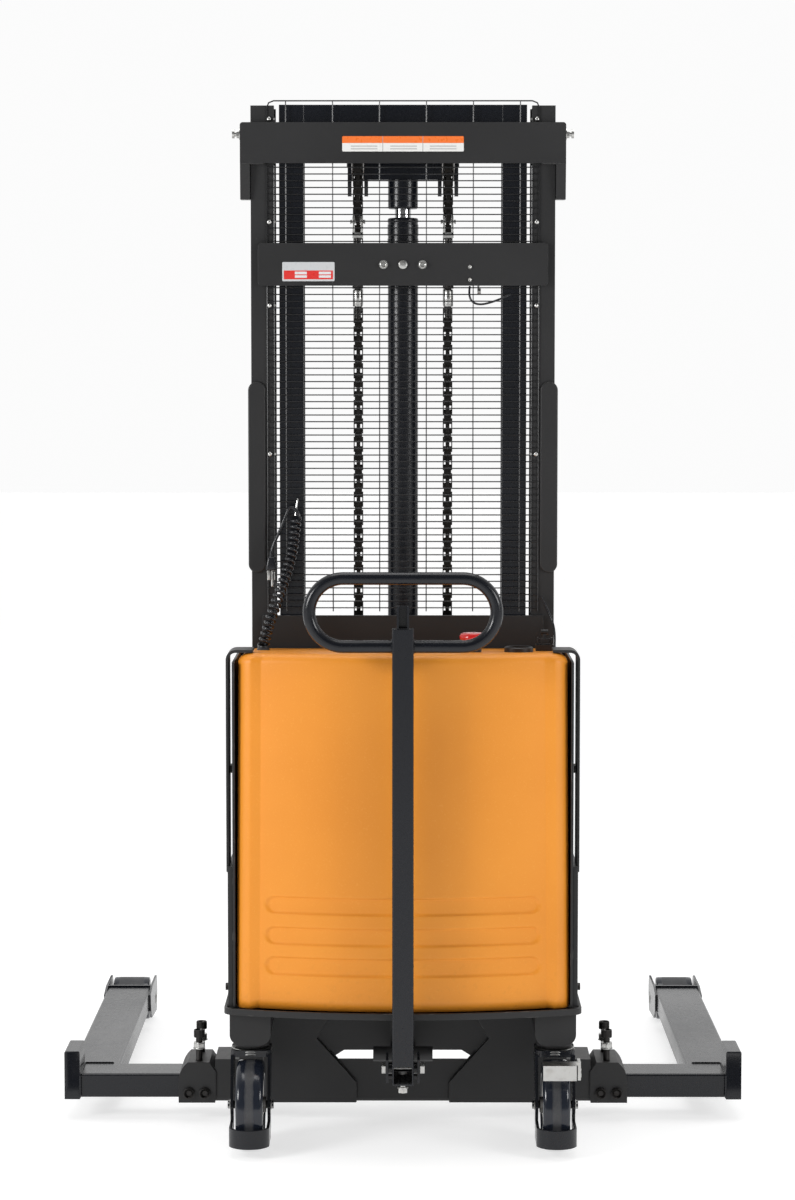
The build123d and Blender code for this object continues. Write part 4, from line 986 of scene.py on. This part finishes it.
# ---------------------------------------------------------------- casters and wheels
wheel_y, wheel_z = -719.0, 90.0
for side, hand in ((-1, "left"), (1, "right")):
    centre = (side * 305, wheel_y, wheel_z)
    bm = bmesh.new()
    tyre = [
        (64, -27), (81, -27), (85, -26), (87.6, -23.5), (89, -20), (89.8, -13), (90, -5),
        (90, 5), (89.8, 13), (89, 20), (87.6, 23.5), (85, 26), (81, 27), (64, 27), (62, 25), (62, -25), (64, -27),
    ]
    turned(bm, tyre, centre, (1, 0, 0), 96)
    close_up(bm)
    wheel = f"caster_wheel_{hand}"
    finish_piece(f"caster_tyre_{hand}", bm, "wheel_polyurethane", wheel, (wheel,))
    bm = bmesh.new()
    hub = [
        (8.2, -31), (15, -31), (16, -30), (16, -24), (24, -23.5), (25, -20), (30, -18.4), (54, -18.4), (57, -20),
        (59, -24), (62.5, -24), (62.5, 24), (59, 24), (57, 20), (54, 18.4), (30, 18.4), (25, 20), (24, 23.5),
        (16, 24), (16, 30), (15, 31), (8.2, 31), (8.2, -31),
    ]
    turned(bm, hub, centre, (1, 0, 0), 64)
    for spoke in range(6):
        turn = 2 * pi * spoke / 6
        for face in SIDES:
            x = centre[0] + face * 18.2
            y, z = wheel_y + 42 * cos(turn), wheel_z + 42 * sin(turn)
            rod(bm, (x, y, z), (x + face * 1.6, y, z), 5.5, 18)
    close_up(bm)
    finish_piece(f"caster_hub_{hand}", bm, "roller_steel", f"caster_wheel_{hand}")
    bm = bmesh.new()
    for face in SIDES:
        x = centre[0] + face * 40.3
        rod(bm, (x, wheel_y, wheel_z), (x + face * 1.5, wheel_y, wheel_z), 10.5, 24)
        nut(bm, (x + face * 1.5, wheel_y, wheel_z), (x + face * 5.4, wheel_y, wheel_z), 15)
    round_edges(bm, 0.5, 1, 50)
    finish_piece(f"caster_axle_nuts_{hand}", bm, "zinc", home[f"caster_fork_{hand}"])
    bm = bmesh.new()
    ball_race = [
        (12, 199.4), (38.5, 199.4), (40.5, 198), (41.5, 195.4), (40.5, 193), (41.5, 190.4), (40, 187.5), (12, 187.5),
    ]
    turned(bm, ball_race, (side * 305, -679, 0), (0, 0, 1), 64)
    close_up(bm)
    finish_piece(f"swivel_race_{hand}", bm, "zinc", home[f"caster_fork_{hand}"])

    bm = bmesh.new()
    load = [
        (12, -41.5), (34, -41.5), (34.5, -42.5), (46, -42.5), (48.6, -41.4), (49.6, -39), (50, -35),
        (50, 35), (49.6, 39), (48.6, 41.4), (46, 42.5), (34.5, 42.5), (34, 41.5), (12, 41.5), (12, -41.5),
    ]
    turned(bm, load, (side * 649, 545, 50), (1, 0, 0), 72)
    close_up(bm)
    finish_piece(
        f"load_wheel_{hand}_tyre", bm, "wheel_polyurethane", home[f"load_wheel_{hand}"],
        (f"load_wheel_{hand}",), load_tread,
    )
    bm = bmesh.new()
    for face in SIDES:
        x = side * 647 + face * 55.1
        rod(bm, (x, 545, 50), (x + face * 1.0, 545, 50), 14, 24)
        rod(bm, (x + face * 1.0, 545, 50), (x + face * 1.7, 545, 50), 9, 24)
    round_edges(bm, 0.2, 1, 50)
    finish_piece(f"load_axle_caps_{hand}", bm, "zinc", home[f"outrigger_{hand}"])

# ---------------------------------------------------------------- brake pedal
softened("brake_pedal", 1.0, "zinc")

# ---------------------------------------------------------------- controls
stop_at = (140, -662, 0)
bm = bmesh.new()
head = [
    (0.01, 1034.9), (10, 1034.9), (20, 1034.2), (24.5, 1032.2), (26.6, 1029), (27, 1025.5), (26.6, 1022.6),
    (25, 1021.2), (10, 1021), (9, 1020), (8.8, 1008.6), (0.01, 1008.6),
]
turned(bm, head, stop_at, (0, 0, 1), 64)
close_up(bm)
finish_piece("stop_button_head", bm, "red_plastic", home["estop_button"], ("estop_button",))
bm = bmesh.new()
turned(bm, [(9.3, 1010.8), (15.5, 1010.8), (17, 1009.4), (17, 994), (9.3, 994)], stop_at, (0, 0, 1), 48)
for ridge in range(24):
    turn = 2 * pi * ridge / 24
    x, y = 140 + 16.6 * cos(turn), -662 + 16.6 * sin(turn)
    rod(bm, (x, y, 998), (x, y, 1009.0), 0.9, 6)
bezel = [(24, 993), (29, 993), (29, 1004.6), (27.6, 1006), (24.6, 1006), (23.6, 1004.4)]
turned(bm, bezel, (232, -655, 0), (0, 0, 1), 64)
box(bm, (268.3, 303.7), (-615.6, -584.4), (990, 1005.9))
for x in (270, 298):
    box(bm, (x, x + 4), (-608, -592), (1005.9, 1019.8))
turned(
    bm,
    [(6, 988), (13, 988), (13, 992), (11.6, 993.5), (10, 999), (3.6, 999)],
    (-284, -560, 0), (0, 0, 1), 32,
)
close_up(bm)
finish_piece("control_bezels", bm, "control_plastic", "chassis", ("panel_bases",))
softened("lift_lever", 0.8, "control_plastic")

# ---------------------------------------------------------------- floor and light
bm = bmesh.new()
bmesh.ops.create_grid(bm, x_segments=1, y_segments=1, size=30)
floor_mesh = bpy.data.meshes.new("floor")
bm.to_mesh(floor_mesh)
bm.free()
floor = bpy.data.objects.new("floor", floor_mesh)
scene.collection.objects.link(floor)
floor_finish = Finish("studio_floor", (0.50, 0.50, 0.50), 0.6, 0.0, 0.1)
floor_finish.shader.inputs["Emission Color"].default_value = (1, 1, 1, 1)
floor_finish.shader.inputs["Emission Strength"].default_value = 0.66
floor_finish.drive("Roughness", floor_finish.spread(floor_finish.noise(9, 3), 0.3, 0.7, 0.55, 0.7))
floor_mesh.materials.append(floor_finish.material)

world = bpy.data.worlds.new("studio")
world.use_nodes = True
tree = world.node_tree
backdrop = tree.nodes["Background"]
heading = tree.nodes.new("ShaderNodeTexCoord")
split = tree.nodes.new("ShaderNodeSeparateXYZ")
shade = tree.nodes.new("ShaderNodeMapRange")
for socket, value in {"From Min": -0.45, "From Max": 0.35, "To Min": 0.16, "To Max": 0.97}.items():
    shade.inputs[socket].default_value = value
tree.links.new(heading.outputs["Generated"], split.inputs[0])
tree.links.new(split.outputs["Y"], shade.inputs["Value"])
tree.links.new(shade.outputs["Result"], backdrop.inputs["Color"])
scene.world = world


def lamp(name, place, target, size, watts, tone=(1, 1, 1)):
    """Soft square lamp aimed at a point."""
    data = bpy.data.lights.new(name, "AREA")
    data.size, data.energy, data.color = size, watts, tone
    made = bpy.data.objects.new(name, data)
    made.location = place
    made.rotation_mode = "QUATERNION"
    made.rotation_quaternion = (Vector(target) - Vector(place)).to_track_quat("-Z", "Y")
    scene.collection.objects.link(made)


lamp("key", (-3.4, -3.0, 2.2), (0, -0.75, 0.9), 1.3, 105)
lamp("fill", (3.4, -3.0, 2.2), (0, -0.75, 0.9), 1.3, 60)
lamp("top", (0, -0.2, 4.6), (0, -0.4, 0.6), 2.6, 60)
